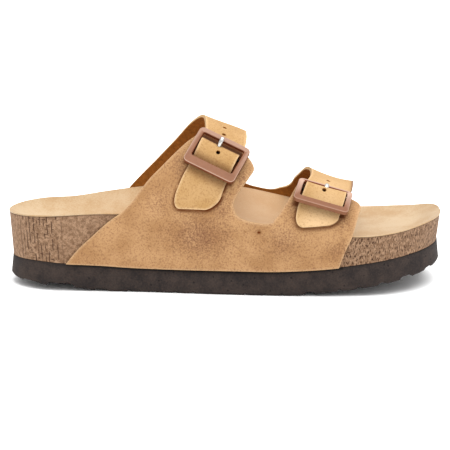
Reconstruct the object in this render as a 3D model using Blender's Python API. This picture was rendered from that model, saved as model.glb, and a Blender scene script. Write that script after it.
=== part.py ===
"""Right-foot sandal: two buckled leather straps over a cork footbed on a thick soft outsole.

Sizes are in millimetres, and become metres when a mesh is made. "along" runs from the heel (0) to
the toe (LENGTH). "around" runs over the foot, from the outer seam (-1) by the crest (0) to the
inner seam (1). The toe points to +X, the outer side of the foot is -Y, and the floor is Z = 0.
"""

import math
from collections import namedtuple

import bmesh
import bpy
import numpy as np
from mathutils import Matrix

MM = 0.001
GAP = 0.3
SHARP_ANGLE = math.radians(35)

# Footprint
LENGTH = 262.0
MIDDLE_Y = -1.15
HEEL_ROUND = 34.0
TOE_ROUND = 46.0
TOE_SQUARENESS = 2.35
END_TURN = 0.13

# Sole
SEAM_INSET = 2.2
SOLE_COLUMNS = 11
OUTSOLE_INSET = 0.8
TREAD_INSET = 2.0
EDGE_ROUND = 1.4
INSOLE_WALL = 1.5
GROOVE_WIDTH = 3.2
GROOVE_SLOPE = 0.6
GROOVE_DEPTH = 2.2
GROOVE_PITCH = 15.4
FIRST_GROOVE = 20.0
LAST_GROOVE = 240.0
WAVE_HEIGHT = 4.0
WAVE_FADE = 45.0

# Upper
LEATHER_WALL = 1.8
PANEL_ROWS = 6
STRAP_COLUMNS = 7
WALL_SHARE = 0.30
CUT_FOOT = 0.655
CUT_DIP = 0.026
FLAP_ROUND = 8.0
FLAP_END = 0.52
FLAP_SHARE = 0.12
TIP_SHARE = 0.08
MM_AROUND = 110.0
THROAT_ALONG = 150.0
BUCKLE_START = -0.14
BUCKLE_END = -0.54

# Buckle frame and pin
FRAME_ACROSS = 33.0
FRAME_DOWN = 25.5
FRAME_THICK = 2.9
FRAME_CORNER = 2.9
FRAME_EDGE = 0.6
SIDE_BAR = 3.2
TOP_BAR = 3.0
LOWER_BAR = 5.4
WINDOW_CORNER = 1.2
AXLE_DOWN = -4.2
AXLE_RADIUS = 0.9
AXLE_SEAT = 2.0
PRONG_RADIUS = 0.9
PRONG_SLOT = 0.35


def table(columns, rows):
    """A table as one array for each named column."""
    return dict(zip(columns.split(), np.array(rows, float).T))


PLAN = table(
    "along middle half",
    (
        (0, -2.0, 31.0),
        (30, -2.0, 31.5),
        (60, -1.8, 33.5),
        (95, -1.8, 35.5),
        (130, -1.6, 39.0),
        (165, -0.6, 45.0),
        (195, 0.2, 48.2),
        (220, 1.0, 47.5),
        (242, 3.2, 45.5),
        (262, 6.0, 44.5),
    ),
)

SIDE = table(
    "along tread seam outer_rim inner_rim bed cup",
    (
        (0, 5.0, 16.3, 43.0, 43.0, 42.9, 2.6),
        (7, 4.4, 16.2, 43.4, 43.4, 39.4, 2.6),
        (18, 3.4, 15.9, 44.0, 44.0, 37.0, 2.6),
        (35, 2.0, 15.2, 45.2, 45.0, 36.2, 2.6),
        (58, 0.3, 14.4, 46.7, 48.5, 36.8, 2.6),
        (75, -0.6, 14.1, 47.0, 50.6, 37.4, 2.4),
        (105, -0.6, 13.8, 46.2, 52.4, 37.8, 2.2),
        (135, -0.6, 13.8, 43.8, 50.6, 36.4, 2.4),
        (162, -0.6, 14.3, 40.5, 44.2, 33.4, 2.8),
        (176, 0.7, 15.2, 39.0, 40.4, 31.8, 3.0),
        (195, 2.8, 16.9, 37.3, 36.4, 31.0, 3.2),
        (212, 4.9, 19.0, 36.6, 34.4, 30.6, 3.2),
        (235, 8.5, 22.2, 38.2, 36.0, 32.0, 3.0),
        (250, 11.2, 24.4, 40.2, 38.8, 35.2, 2.8),
        (262, 13.4, 26.0, 41.4, 41.4, 41.2, 2.8),
    ),
)

# Over the foot: the crest's place and height, and how full the outer shoulder is, where 2 is round.
CREST = table(
    "along middle height full",
    (
        (20, 2.0, 148.0, 2.0),
        (60, 3.0, 126.0, 2.0),
        (90, 3.5, 112.0, 2.0),
        (118, 4.0, 98.3, 2.0),
        (145, 5.0, 87.4, 2.0),
        (165, 6.5, 75.2, 1.9),
        (178, 8.0, 67.2, 1.9),
        (190, 9.2, 61.2, 2.05),
        (200, 9.8, 57.6, 2.22),
        (212, 10.0, 55.4, 2.35),
        (225, 10.0, 54.5, 2.4),
    ),
)

# Edges of the outer quarter: its two ears rise from one panel under the buckles.
OUTER_INSTEP = table(
    "around back front",
    (
        (1.000, 36.0, 138.0),
        (0.914, 42.1, 138.0),
        (0.828, 51.2, 138.0),
        (0.729, 63.2, 137.8),
        (0.656, 75.1, 137.4),
        (0.605, 80.8, 135.8),
        (0.560, 86.0, 137.4),
        (0.501, 92.7, 140.8),
        (0.420, 100.6, 145.2),
        (0.355, 106.2, 147.6),
        (0.318, 109.2, 144.2),
        (0.285, 112.0, 137.0),
        (0.240, 115.4, 128.0),
    ),
)
OUTER_TOE = table(
    "around back front",
    (
        (1.000, 158.6, 197.6),
        (0.833, 158.8, 201.5),
        (0.699, 159.0, 205.1),
        (0.656, 159.2, 205.9),
        (0.581, 163.0, 207.2),
        (0.517, 165.8, 208.2),
        (0.448, 168.6, 209.4),
        (0.380, 170.9, 210.6),
        (0.340, 172.2, 208.6),
        (0.310, 173.4, 204.0),
        (0.280, 175.0, 195.0),
    ),
)

# Edges of the inner quarter: its two straps cross the foot, pass the buckles and end in flaps.
INNER_INSTEP = table(
    "around back front",
    (
        (1.000, 40.0, 141.0),
        (0.850, 54.0, 141.0),
        (0.695, 72.1, 140.6),
        (0.655, 78.2, 140.2),
        (0.600, 86.0, 138.6),
        (0.500, 96.7, 139.6),
        (0.300, 109.3, 142.4),
        (0.100, 115.8, 143.2),
        (0.000, 117.4, 143.2),
        (-0.120, 118.4, 143.2),
        (-0.240, 118.2, 141.8),
        (-0.320, 115.2, 139.0),
        (-0.430, 110.6, 134.6),
        (-0.530, 105.2, 130.4),
        (-0.600, 101.6, 127.8),
        (-0.655, 98.4, 124.9),
    ),
)
INNER_TOE = table(
    "around back front",
    (
        (1.000, 161.0, 198.0),
        (0.830, 161.2, 201.8),
        (0.700, 161.8, 205.0),
        (0.655, 163.6, 205.6),
        (0.615, 168.7, 206.2),
        (0.475, 174.8, 207.6),
        (0.207, 180.3, 208.4),
        (0.000, 181.6, 207.6),
        (-0.140, 180.6, 205.4),
        (-0.240, 178.7, 202.8),
        (-0.320, 176.9, 201.5),
        (-0.430, 174.6, 199.5),
        (-0.530, 172.6, 197.3),
        (-0.600, 171.8, 196.5),
        (-0.635, 171.4, 196.1),
    ),
)

# How far a strap's inner face stands off the foot on its way down through a buckle.
INSTEP_PATH = table(
    "down rise",
    (
        (-60, 0.0),
        (-24, 0.0),
        (-18, 0.4),
        (-13, 1.3),
        (-9.0, 1.8),
        (-7.4, 2.5),
        (-5.6, 4.5),
        (-4.4, 5.25),
        (-3.2, 5.2),
        (2.0, 4.1),
        (7.5, 2.2),
        (13, 2.2),
        (22, 2.1),
        (60, 2.1),
    ),
)
TOE_PATH = table(
    "down rise",
    (
        (-60, 0.0),
        (-24, 0.0),
        (-18, 0.1),
        (-13, 0.4),
        (-10.4, 0.7),
        (-9.2, 1.15),
        (-8.0, 2.5),
        (-6.4, 5.2),
        (-5.2, 7.0),
        (-4.3, 7.5),
        (-3.2, 7.3),
        (2.0, 5.2),
        (7.5, 3.4),
        (13, 2.7),
        (22, 2.1),
        (60, 2.1),
    ),
)

# The prong, from the axle up through the strap to the top bar: places down the strap, and its
# share of the way up to the height at which it rests on the bar.
PRONG_PATH = table("down share", ((-4.2, 0.0), (-6.3, 0.55), (-8.3, 1.0), (-11.4, 1.0)))

# Where each strap's buckle sits and how it lies: the strap leans to the heel on its way down, the
# frame tilts its top bar to the foot, the prong stands off the middle, and the flap's end is skewed.
Strap = namedtuple("Strap", "name along around lean tilt prong skew edges path")
INSTEP = Strap("instep", 125.4, -0.374, 47.0, 0.00, -1.6, 0.0006, INNER_INSTEP, INSTEP_PATH)
TOE = Strap("toe", 187.2, -0.402, 19.0, 0.17, 0.4, 0.0026, INNER_TOE, TOE_PATH)

COLOURS = {
    # base colour, roughness, metallic
    "outsole": ((0.060, 0.042, 0.038), 0.80, 0.0),
    "footbed": ((0.370, 0.225, 0.105), 0.85, 0.0),
    "insole": ((0.730, 0.450, 0.200), 0.90, 0.0),
    "upper": ((0.680, 0.370, 0.130), 0.85, 0.0),
    "frame": ((0.330, 0.140, 0.095), 0.30, 0.0),
    "pin": ((0.750, 0.740, 0.720), 0.25, 1.0),
}


def read(rows, column, at):
    """Reads a column of a table at a place in its first column, on a smooth curve."""
    keys, values = next(iter(rows.values())), rows[column]
    if keys[0] > keys[-1]:
        keys, values = keys[::-1], values[::-1]
    at = np.clip(np.asarray(at, float), keys[0], keys[-1])
    slopes = np.gradient(values, keys)
    start = np.clip(np.searchsorted(keys, at) - 1, 0, len(keys) - 2)
    span = keys[start + 1] - keys[start]
    share = (at - keys[start]) / span
    rest = 1 - share
    return (
        values[start] * rest**2 * (1 + 2 * share)
        + values[start + 1] * share**2 * (1 + 2 * rest)
        + span * share * rest * (slopes[start] * rest - slopes[start + 1] * share)
    )


# Footprint and sole heights


def outline(along, inset):
    """Middle line and half width of the footprint, drawn in by the inset."""
    heel = np.clip((HEEL_ROUND - along) / (HEEL_ROUND - inset), 0, 1)
    toe = np.clip((along - LENGTH + TOE_ROUND) / (TOE_ROUND - inset), 0, 1)
    ends = np.sqrt(1 - heel**2) * (1 - toe**TOE_SQUARENESS) ** (1 / TOE_SQUARENESS)
    return read(PLAN, "middle", along), (read(PLAN, "half", along) - inset) * ends


def end_stations(heel_end, toe_start, steps):
    """Places along the rounded heel and toe, closer together towards their tips."""
    turns = np.linspace(END_TURN, math.pi / 2, steps)
    heel = HEEL_ROUND * (1 - np.cos(turns))
    toe = LENGTH - TOE_ROUND * (1 - np.cos(turns[::-1]))
    return heel[heel < heel_end], toe[toe > toe_start]


def sole_grid(along, across, inset, height):
    """Points of one face of the sole. along has a row for each station."""
    drawn_in = inset + along * (LENGTH - 2 * inset) / LENGTH + 0 * across
    middle, half = outline(drawn_in, inset)
    return np.stack([drawn_in, middle + half * across, height(drawn_in, across)], axis=-1)


def bed_height(along, across):
    """The face that the foot rests on: a cup from rim to rim."""
    rim = np.where(across < 0, read(SIDE, "outer_rim", along), read(SIDE, "inner_rim", along))
    bed = read(SIDE, "bed", along)
    return bed + (rim - bed) * np.abs(across) ** read(SIDE, "cup", along)


def side_height(column, lift=0.0):
    return lambda along, across: np.maximum(read(SIDE, column, along), 0) + lift + 0 * across


# The last, which the upper is shaped on


def last_point(along, around):
    """A point on the last: up the cork wall to the rim, then round a shoulder to the crest."""
    along, around = np.broadcast_arrays(np.asarray(along, float), np.asarray(around, float))
    middle, half = outline(along, 0.0)
    outer = around < 0
    rim_y = np.where(outer, middle - half - GAP, middle + half + GAP)
    rim_z = np.where(outer, read(SIDE, "outer_rim", along), read(SIDE, "inner_rim", along))
    seam_y = rim_y + np.where(outer, SEAM_INSET, -SEAM_INSET)
    seam_z = read(SIDE, "seam", along) + GAP
    share = np.abs(around)
    up_wall = np.clip((1 - share) / WALL_SHARE, 0, 1)
    turn = np.clip((1 - WALL_SHARE - share) / (1 - WALL_SHARE), 0, 1) * math.pi / 2
    bend = 2 / np.where(outer, read(CREST, "full", along), 2)
    crest_y = read(CREST, "middle", along)
    over_y = crest_y + (rim_y - crest_y) * np.cos(turn) ** bend
    over_z = rim_z + (read(CREST, "height", along) - rim_z) * np.sin(turn) ** bend
    wall = share > 1 - WALL_SHARE
    y = np.where(wall, seam_y + (rim_y - seam_y) * up_wall, over_y)
    z = np.where(wall, seam_z + (rim_z - seam_z) * up_wall, over_z)
    return np.stack([along, y, z], axis=-1)


def last_outward(along, around):
    """The direction that points straight out of the last."""
    step_along, step_around = 0.25, 0.004
    near = np.clip(around, -1 + step_around, 1 - step_around)
    ahead = last_point(along + step_along, near) - last_point(along - step_along, near)
    over = last_point(along, near + step_around) - last_point(along, near - step_around)
    outward = np.cross(ahead, over)
    return outward / np.linalg.norm(outward, axis=-1, keepdims=True)


def off_last(along, around, rise):
    return last_point(along, around) + last_outward(along, around) * np.asarray(rise)[..., None]


class Seat:
    """Where a buckle sits on the last: its centre and the directions across, down and outward."""

    def __init__(self, strap):
        step = 0.01
        self.centre = last_point(strap.along, strap.around)
        below = last_point(strap.along - strap.lean * step, strap.around - step)
        above = last_point(strap.along + strap.lean * step, strap.around + step)
        outward = last_outward(np.array(strap.along), np.array(strap.around))
        down = below - above
        down = down - outward * (down @ outward)
        down = down / np.linalg.norm(down)
        self.axes = np.array([np.cross(outward, down), down, outward])

    def local(self, points):
        return (points - self.centre) @ self.axes.T

    def matrix(self):
        placed = Matrix.Identity(4)
        for row in range(3):
            for column in range(3):
                placed[row][column] = self.axes[column][row]
        shift = self.centre - (LENGTH / 2, MIDDLE_Y, 0)
        placed.translation = shift * MM
        return placed


def strap_rise(strap, seat, along, around):
    """The rise of a strap's inner face. Past the crest it lies on the foot."""
    down = seat.local(last_point(along, around))[..., 1]
    return np.where(around < 0, read(strap.path, "rise", down), 0)


# Meshes


def make_object(name, points, faces, frame=None):
    """An object from points in millimetres, in the shoe's own frame or a buckle's."""
    points = np.asarray(points, float)
    if frame is None:
        points = points - (LENGTH / 2, MIDDLE_Y, 0)
    mesh = bpy.data.meshes.new(name)
    mesh.from_pydata((points * MM).tolist(), [], faces)
    built = bmesh.new()
    built.from_mesh(mesh)
    bmesh.ops.recalc_face_normals(built, faces=built.faces)
    built.to_mesh(mesh)
    built.free()
    made = bpy.data.objects.new(name, mesh)
    bpy.context.scene.collection.objects.link(made)
    if frame is not None:
        made.matrix_world = frame
    return made


def paint(made, kind):
    colour, roughness, metallic = COLOURS[kind]
    material = bpy.data.materials.new(made.name)
    material.use_nodes = True
    shader = material.node_tree.nodes["Principled BSDF"]
    shader.inputs["Base Color"].default_value = (*colour, 1)
    shader.inputs["Roughness"].default_value = roughness
    shader.inputs["Metallic"].default_value = metallic
    made.data.materials.append(material)
    made.data.shade_smooth()
    made.data.set_sharp_from_angle(angle=SHARP_ANGLE)


def combine(made, operation, other):
    """Joins or cuts with a helper that isn't a piece of the shoe."""
    other.hide_render = True
    other.display_type = "WIRE"
    modifier = made.modifiers.new(other.name, "BOOLEAN")
    modifier.operation = operation
    modifier.solver = "EXACT"
    modifier.object = other


def grid_faces(rows, columns, first=0):
    return [
        [first + row * columns + column + step for step in (0, 1, columns + 1, columns)]
        for row in range(rows - 1)
        for column in range(columns - 1)
    ]


def rim_of(grid):
    """The points on the edge of a grid, once round."""
    return np.concatenate([grid[:-1, 0], grid[-1, :-1], grid[:0:-1, -1], grid[0, :0:-1]])


def loft_sole(name, bottom, rings, top):
    """A closed slab: a bottom grid, rings up its side wall and a top grid."""
    rows, columns = bottom.shape[:2]
    index = np.arange(rows * columns).reshape(rows, columns)
    edge = rim_of(index)
    points = [bottom.reshape(-1, 3), top.reshape(-1, 3)]
    faces = grid_faces(rows, columns) + grid_faces(rows, columns, rows * columns)
    levels = [edge]
    count = 2 * rows * columns
    for ring in rings:
        points.append(rim_of(ring))
        levels.append(count + np.arange(len(edge)))
        count += len(edge)
    levels.append(edge + rows * columns)
    for low, high in zip(levels, levels[1:]):
        after_low, after_high = np.roll(low, -1), np.roll(high, -1)
        faces += np.stack([low, after_low, after_high, high], axis=1).tolist()
    return make_object(name, np.concatenate(points), faces)


def weave(blocks):
    """One sheet from grids of (along, around) that share their edges: its points and quads."""
    index = {}
    quads = []
    for block in blocks:
        keys = [[tuple(point) for point in row] for row in np.round(block, 5)]
        for row, after in zip(keys, keys[1:]):
            for column in range(len(row) - 1):
                corners = (row[column], row[column + 1], after[column + 1], after[column])
                quads.append([index.setdefault(corner, len(index)) for corner in corners])
    return np.array(list(index)), quads


def thicken(inner, outer, quads):
    """Points and faces of a closed wall between two sheets of the same quads."""
    count = len(inner)
    faces = [quad[::-1] for quad in quads] + [[corner + count for corner in quad] for quad in quads]
    sides = {(quad[turn - 1], quad[turn]) for quad in quads for turn in range(4)}
    faces += [[a, b, b + count, a + count] for a, b in sides if (b, a) not in sides]
    return np.concatenate([inner, outer]), faces


# Pieces


def outsole():
    across = np.linspace(-1, 1, SOLE_COLUMNS)
    grooves = []
    for centre in np.arange(FIRST_GROOVE, LAST_GROOVE, GROOVE_PITCH):
        half, floor = GROOVE_WIDTH / 2, GROOVE_WIDTH / 2 - GROOVE_SLOPE
        grooves += [(centre - half, 0), (centre - floor, 1), (centre + floor, 1), (centre + half, 0)]
        grooves += [(centre + GROOVE_PITCH / 2, 0)]
    heel, toe = end_stations(grooves[0][0] - 1, grooves[-1][0] + 1, 9)
    stations = np.concatenate([heel, [place for place, _ in grooves], toe])
    cut = np.concatenate([0 * heel, [deep for _, deep in grooves], 0 * toe]) * GROOVE_DEPTH
    calm = np.clip(np.minimum(stations, LENGTH - stations) / WAVE_FADE, 0, 1) ** 2
    along = stations[:, None] + WAVE_HEIGHT * calm[:, None] * np.sin(math.pi * 2 * across)

    def tread(at, _):
        return np.maximum(read(SIDE, "tread", at), 0) + cut[:, None]

    def shoulder(at, _):
        low = np.maximum(read(SIDE, "tread", at), 0) + EDGE_ROUND
        return low + cut[:, None] / 2

    bottom = sole_grid(along, across, TREAD_INSET, tread)
    rings = [sole_grid(along, across, OUTSOLE_INSET, shoulder)]
    top = sole_grid(along, across, SEAM_INSET, side_height("seam"))
    return loft_sole("outsole", bottom, rings, top)


def bed_places():
    """Stations along the bed and places across it, closer together towards its rim."""
    heel, toe = end_stations(HEEL_ROUND, LENGTH - TOE_ROUND, 8)
    middle = np.linspace(HEEL_ROUND, LENGTH - TOE_ROUND, 18)
    across = np.sin(np.linspace(-1, 1, SOLE_COLUMNS) * math.pi / 2)
    return np.concatenate([heel, middle, toe])[:, None], across


def footbed():
    along, across = bed_places()
    under = INSOLE_WALL + GAP
    bottom = sole_grid(along, across, SEAM_INSET, side_height("seam", GAP))
    top = sole_grid(along, across, 0.0, lambda *at: bed_height(*at) - under)
    return loft_sole("footbed", bottom, [], top)


def insole():
    along, across = bed_places()
    bottom = sole_grid(along, across, 0.0, lambda *at: bed_height(*at) - INSOLE_WALL)
    top = sole_grid(along, across, 0.0, bed_height)
    return loft_sole("insole", bottom, [], top)


def finger(edges, arounds, columns):
    """A grid between the two edges of an ear or a strap, at the given places around."""
    share = np.linspace(0, 1, columns)
    back = read(edges, "back", arounds)[:, None]
    front = read(edges, "front", arounds)[:, None]
    along = back + (front - back) * share
    return np.stack([along, arounds[:, None] + 0 * along], axis=-1)


def panel(instep, toe):
    """The part of a quarter between its two fingers: it rises to the foot of the cut-out."""
    share = np.linspace(0, 1, 9)
    foot = CUT_FOOT + CUT_DIP * (1 - np.abs(2 * share - 1) ** 3)
    down = np.linspace(0, 1, PANEL_ROWS)[:, None]
    around = 1 + (foot - 1) * down
    start = read(instep, "front", 1 + (CUT_FOOT - 1) * down)
    end = read(toe, "back", 1 + (CUT_FOOT - 1) * down)
    return np.stack([start + (end - start) * share, around], axis=-1)


def round_tip(block, arounds, skew):
    """Narrows a strap towards its end, so that the flap has a round tip, and skews that end."""
    left = np.clip((arounds - arounds[-1]) * MM_AROUND / FLAP_ROUND, 0, 1)
    narrow = FLAP_END + (1 - FLAP_END) * np.sqrt(1 - (1 - left) ** 2)
    middle = block[:, :, 0].mean(axis=1, keepdims=True)
    block[:, :, 0] = middle + (block[:, :, 0] - middle) * narrow[:, None]
    flap = np.clip(1 - (arounds - arounds[-1]) / FLAP_SHARE, 0, 1)
    block[:, :, 1] += skew * flap[:, None] * (block[:, :, 0] - middle)
    return block


def outer_quarter():
    low = np.linspace(1, CUT_FOOT, PANEL_ROWS)
    blocks = [panel(OUTER_INSTEP, OUTER_TOE)]
    for edges, columns in ((OUTER_INSTEP, STRAP_COLUMNS + 3), (OUTER_TOE, STRAP_COLUMNS)):
        high = np.linspace(CUT_FOOT, edges["around"][-1], 16)
        blocks.append(finger(edges, np.concatenate([low, high[1:]]), columns))
    sheet, quads = weave(blocks)
    along, around = sheet[:, 0], -sheet[:, 1]
    inner = off_last(along, around, 0 * along)
    outer = off_last(along, around, 0 * along + LEATHER_WALL)
    return make_object("upper", *thicken(inner, outer, quads))


def strap_places(end):
    """Places around for the rows of a strap: closest through the buckle and at the tip."""
    crest = np.linspace(CUT_FOOT, BUCKLE_START, 12)
    buckle = np.linspace(BUCKLE_START, BUCKLE_END, 27)
    tip = end + TIP_SHARE * (1 - np.sin(np.linspace(0, 1, 7) * math.pi / 2))
    return np.concatenate([crest, buckle[1:], tip])


def inner_quarter(seats):
    low = np.linspace(1, CUT_FOOT, PANEL_ROWS)
    blocks = [panel(INNER_INSTEP, INNER_TOE)]
    for strap in (INSTEP, TOE):
        high = strap_places(strap.edges["around"][-1])
        blocks.append(finger(strap.edges, low, STRAP_COLUMNS))
        blocks.append(round_tip(finger(strap.edges, high, STRAP_COLUMNS), high, strap.skew))
    sheet, quads = weave(blocks)
    along, around = sheet[:, 0], sheet[:, 1]
    rises = [strap_rise(strap, seats[strap.name], along, around) for strap in (INSTEP, TOE)]
    rise = np.where(along < THROAT_ALONG, *rises)
    inner = off_last(along, around, rise)
    outer = off_last(along, around, rise + LEATHER_WALL)
    return make_object("inner_quarter", *thicken(inner, outer, quads))


class Fit:
    """Heights over a seat at which a frame clears its strap and an axle runs under it."""

    def __init__(self, strap, seat):
        arounds = np.linspace(BUCKLE_START, BUCKLE_END - TIP_SHARE, 160)
        sheet = finger(strap.edges, arounds, 9).reshape(-1, 2)
        along, around = sheet[:, 0], sheet[:, 1]
        rise = strap_rise(strap, seat, along, around)
        top = seat.local(off_last(along, around, rise + LEATHER_WALL))
        under = seat.local(off_last(along, around, rise))
        half = FRAME_DOWN / 2
        bars = (np.abs(top[:, 1]) < half) & (
            (top[:, 1] < TOP_BAR - half) | (top[:, 1] > half - LOWER_BAR)
        )
        self.floor = (top[bars, 2] - strap.tilt * top[bars, 1]).max() + GAP
        near = np.abs(under[:, 1] - AXLE_DOWN) < AXLE_RADIUS
        low_bars = self.floor + strap.tilt * AXLE_DOWN
        self.axle = min(under[near, 2].min() - GAP - AXLE_RADIUS, low_bars)
        self.tilt = strap.tilt
        self.rest = self.floor + FRAME_THICK + self.tilt * (TOP_BAR - half) + GAP + PRONG_RADIUS


def rounded_box(across, top, bottom, corner):
    """Points round a rectangle with round corners, on the frame's plane."""
    points = []
    for side, end, turn in ((1, bottom, 0), (-1, bottom, 1), (-1, top, 2), (1, top, 3)):
        centre_x = side * (across - corner)
        centre_y = end + (corner if end == top else -corner)
        for step in range(6):
            angle = (turn + step / 5) * math.pi / 2
            points.append((centre_x + corner * math.cos(angle), centre_y + corner * math.sin(angle)))
    return np.array(points)


def buckle_frame(strap, seat, fit):
    """A moulded ring with soft edges, grooved underneath for the axle."""
    half = FRAME_DOWN / 2
    outer = (FRAME_ACROSS / 2, -half, half)
    window = (FRAME_ACROSS / 2 - SIDE_BAR, TOP_BAR - half, half - LOWER_BAR)
    edge = FRAME_EDGE
    # inward step from the outer or the window face, height over the frame's underside
    profile = ((outer, 1, edge, 0), (outer, 1, 0, edge), (outer, 1, 0, FRAME_THICK - edge),
               (outer, 1, edge, FRAME_THICK), (window, -1, edge, FRAME_THICK),
               (window, -1, 0, FRAME_THICK - edge), (window, -1, 0, edge), (window, -1, edge, 0))
    loops = []
    for (across, top, bottom), side, step, height in profile:
        corner = (FRAME_CORNER if side > 0 else WINDOW_CORNER) - side * step
        drawn = side * step
        flat = rounded_box(across - drawn, top + drawn, bottom - drawn, corner)
        over = fit.floor + fit.tilt * flat[:, 1] + height
        loops.append(np.column_stack([flat, over]))
    count = len(loops[0])
    faces = []
    for low in range(len(loops)):
        high = (low + 1) % len(loops)
        for at in range(count):
            after = (at + 1) % count
            faces.append([low * count + at, low * count + after, high * count + after, high * count + at])
    made = make_object(strap.name + "_buckle_frame", np.concatenate(loops), faces, seat.matrix())
    reach = FRAME_ACROSS / 2 - SIDE_BAR + AXLE_SEAT + GAP
    groove = box(
        strap.name + "_axle_groove",
        (-reach, AXLE_DOWN - AXLE_RADIUS - GAP, fit.floor - FRAME_THICK),
        (reach, AXLE_DOWN + AXLE_RADIUS + GAP, fit.axle + AXLE_RADIUS + GAP),
        seat.matrix(),
    )
    combine(made, "DIFFERENCE", groove)
    return made


def box(name, low, high, frame):
    corners = [(x, y, z) for x in (low[0], high[0]) for y in (low[1], high[1]) for z in (low[2], high[2])]
    faces = [(0, 1, 3, 2), (4, 6, 7, 5), (0, 4, 5, 1), (2, 3, 7, 6), (0, 2, 6, 4), (1, 5, 7, 3)]
    return make_object(name, corners, faces, frame)


def tube(name, route, radius, frame):
    """A round bar along a route in a buckle's frame, closed at both ends."""
    sides = 10
    route = np.asarray(route, float)
    ahead = np.gradient(route, axis=0)
    ahead /= np.linalg.norm(ahead, axis=1, keepdims=True)
    level = np.array([1.0, 0, 0]) if abs(ahead[0][0]) < 0.5 else np.array([0, 0, 1.0])
    other = np.cross(ahead, level)
    turns = np.linspace(0, 2 * math.pi, sides, endpoint=False)
    ring = np.cos(turns)[:, None, None] * level + np.sin(turns)[:, None, None] * other
    points = (route + radius * ring).transpose(1, 0, 2).reshape(-1, 3)
    faces = []
    for row in range(len(route) - 1):
        for at in range(sides):
            after = (at + 1) % sides
            faces.append([row * sides + at, row * sides + after,
                          (row + 1) * sides + after, (row + 1) * sides + at])
    last = (len(route) - 1) * sides
    faces += [list(range(sides)), list(range(last, last + sides))]
    return make_object(name, points, faces, frame)


def prong_route(strap, fit):
    down, share = PRONG_PATH["down"], PRONG_PATH["share"]
    return np.column_stack([strap.prong + 0 * down, down, fit.axle + share * (fit.rest - fit.axle)])


def buckle_pin(strap, seat, fit):
    """A steel axle with a prong that rests on the top bar."""
    reach = FRAME_ACROSS / 2 - SIDE_BAR + AXLE_SEAT
    ends = [(-reach, AXLE_DOWN, fit.axle), (reach, AXLE_DOWN, fit.axle)]
    made = tube(strap.name + "_buckle_pin", ends, AXLE_RADIUS, seat.matrix())
    prong = tube(strap.name + "_prong", prong_route(strap, fit), PRONG_RADIUS, seat.matrix())
    combine(made, "UNION", prong)
    return made


def main():
    for old in list(bpy.data.objects):
        bpy.data.objects.remove(old)
    seats = {strap.name: Seat(strap) for strap in (INSTEP, TOE)}
    paint(outsole(), "outsole")
    paint(footbed(), "footbed")
    paint(insole(), "insole")
    upper = outer_quarter()
    combine(upper, "UNION", inner_quarter(seats))
    for strap in (INSTEP, TOE):
        seat = seats[strap.name]
        fit = Fit(strap, seat)
        paint(buckle_frame(strap, seat, fit), "frame")
        paint(buckle_pin(strap, seat, fit), "pin")
        slot = tube(strap.name + "_prong_slot", prong_route(strap, fit)[:3],
                    PRONG_RADIUS + PRONG_SLOT, seat.matrix())
        combine(upper, "DIFFERENCE", slot)
    paint(upper, "upper")


main()
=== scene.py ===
# %% [markdown]
# # A two-strap cork sandal
# The sandal is a stack: a dark foam outsole, a cork bed, a suede cover, and a leather upper of two
# halves. The outer half has two ears with a buckle on each, and the inner half has two straps that
# cross the foot, go through the buckles and end in round flaps.
# The CAD frame holds the same pieces as plain solids. It is loaded first, so that each finer piece
# made below can be put exactly where its solid is.

# %% Load the frame
import math
from collections import namedtuple

import bmesh
import bpy
import numpy as np
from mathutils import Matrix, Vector
from mathutils.kdtree import KDTree


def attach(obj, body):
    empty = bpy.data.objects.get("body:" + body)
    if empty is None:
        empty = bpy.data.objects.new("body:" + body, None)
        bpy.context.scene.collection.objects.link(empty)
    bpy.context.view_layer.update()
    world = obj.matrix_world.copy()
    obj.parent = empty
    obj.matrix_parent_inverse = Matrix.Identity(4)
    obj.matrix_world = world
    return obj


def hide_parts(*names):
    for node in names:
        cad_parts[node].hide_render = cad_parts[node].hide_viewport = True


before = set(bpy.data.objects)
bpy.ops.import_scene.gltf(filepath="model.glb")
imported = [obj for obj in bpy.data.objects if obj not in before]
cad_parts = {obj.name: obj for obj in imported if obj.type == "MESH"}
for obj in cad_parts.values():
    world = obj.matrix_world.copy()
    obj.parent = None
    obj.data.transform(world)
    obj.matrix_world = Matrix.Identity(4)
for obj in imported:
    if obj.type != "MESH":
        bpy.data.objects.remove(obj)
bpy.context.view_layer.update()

print("nodes:", sorted(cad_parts))

# %% [markdown]
# ## Camera
# The photograph looks square at the outer side from a little above. A long lens keeps the sole's
# lines nearly parallel. The lens is worked out from the distance and from how many millimetres one
# pixel covers at the shoe, and a small shift puts the shoe above the middle of the picture.

# %% Camera
MM = 0.001
PICTURE = 450
MM_PER_PIXEL = 0.608
SIGHT_TILT = math.radians(11.5)
SIGHT_AWAY = 1150.0
SIGHT_POINT = Vector((0, 1.15, 45)) * MM
PIXELS_RIGHT, PIXELS_UP = 0.3, 19.0

sight = bpy.data.cameras.new("camera")
sight.sensor_width = 36.0
sight.lens = sight.sensor_width * SIGHT_AWAY / (PICTURE * MM_PER_PIXEL)
sight.shift_x = -PIXELS_RIGHT / PICTURE
sight.shift_y = -PIXELS_UP / PICTURE
camera = bpy.data.objects.new("camera", sight)
backward = Vector((0, -math.cos(SIGHT_TILT), math.sin(SIGHT_TILT)))
camera.location = SIGHT_POINT + backward * SIGHT_AWAY * MM
camera.rotation_euler = (-backward).to_track_quat("-Z", "Y").to_euler()
bpy.context.scene.collection.objects.link(camera)
bpy.context.scene.camera = camera
print("lens:", round(sight.lens, 1), "mm")

# %% [markdown]
# ## Colours and nodes
# Colours are written as the hex values that a picture editor shows, and one function turns them
# into the linear values that Blender mixes. One more small function adds a node, sets its options
# and fills its sockets, either with a value or with a link from another node. Most finishes are a
# few colours laid over one another, each where a pattern or a value painted on the mesh says.


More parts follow.
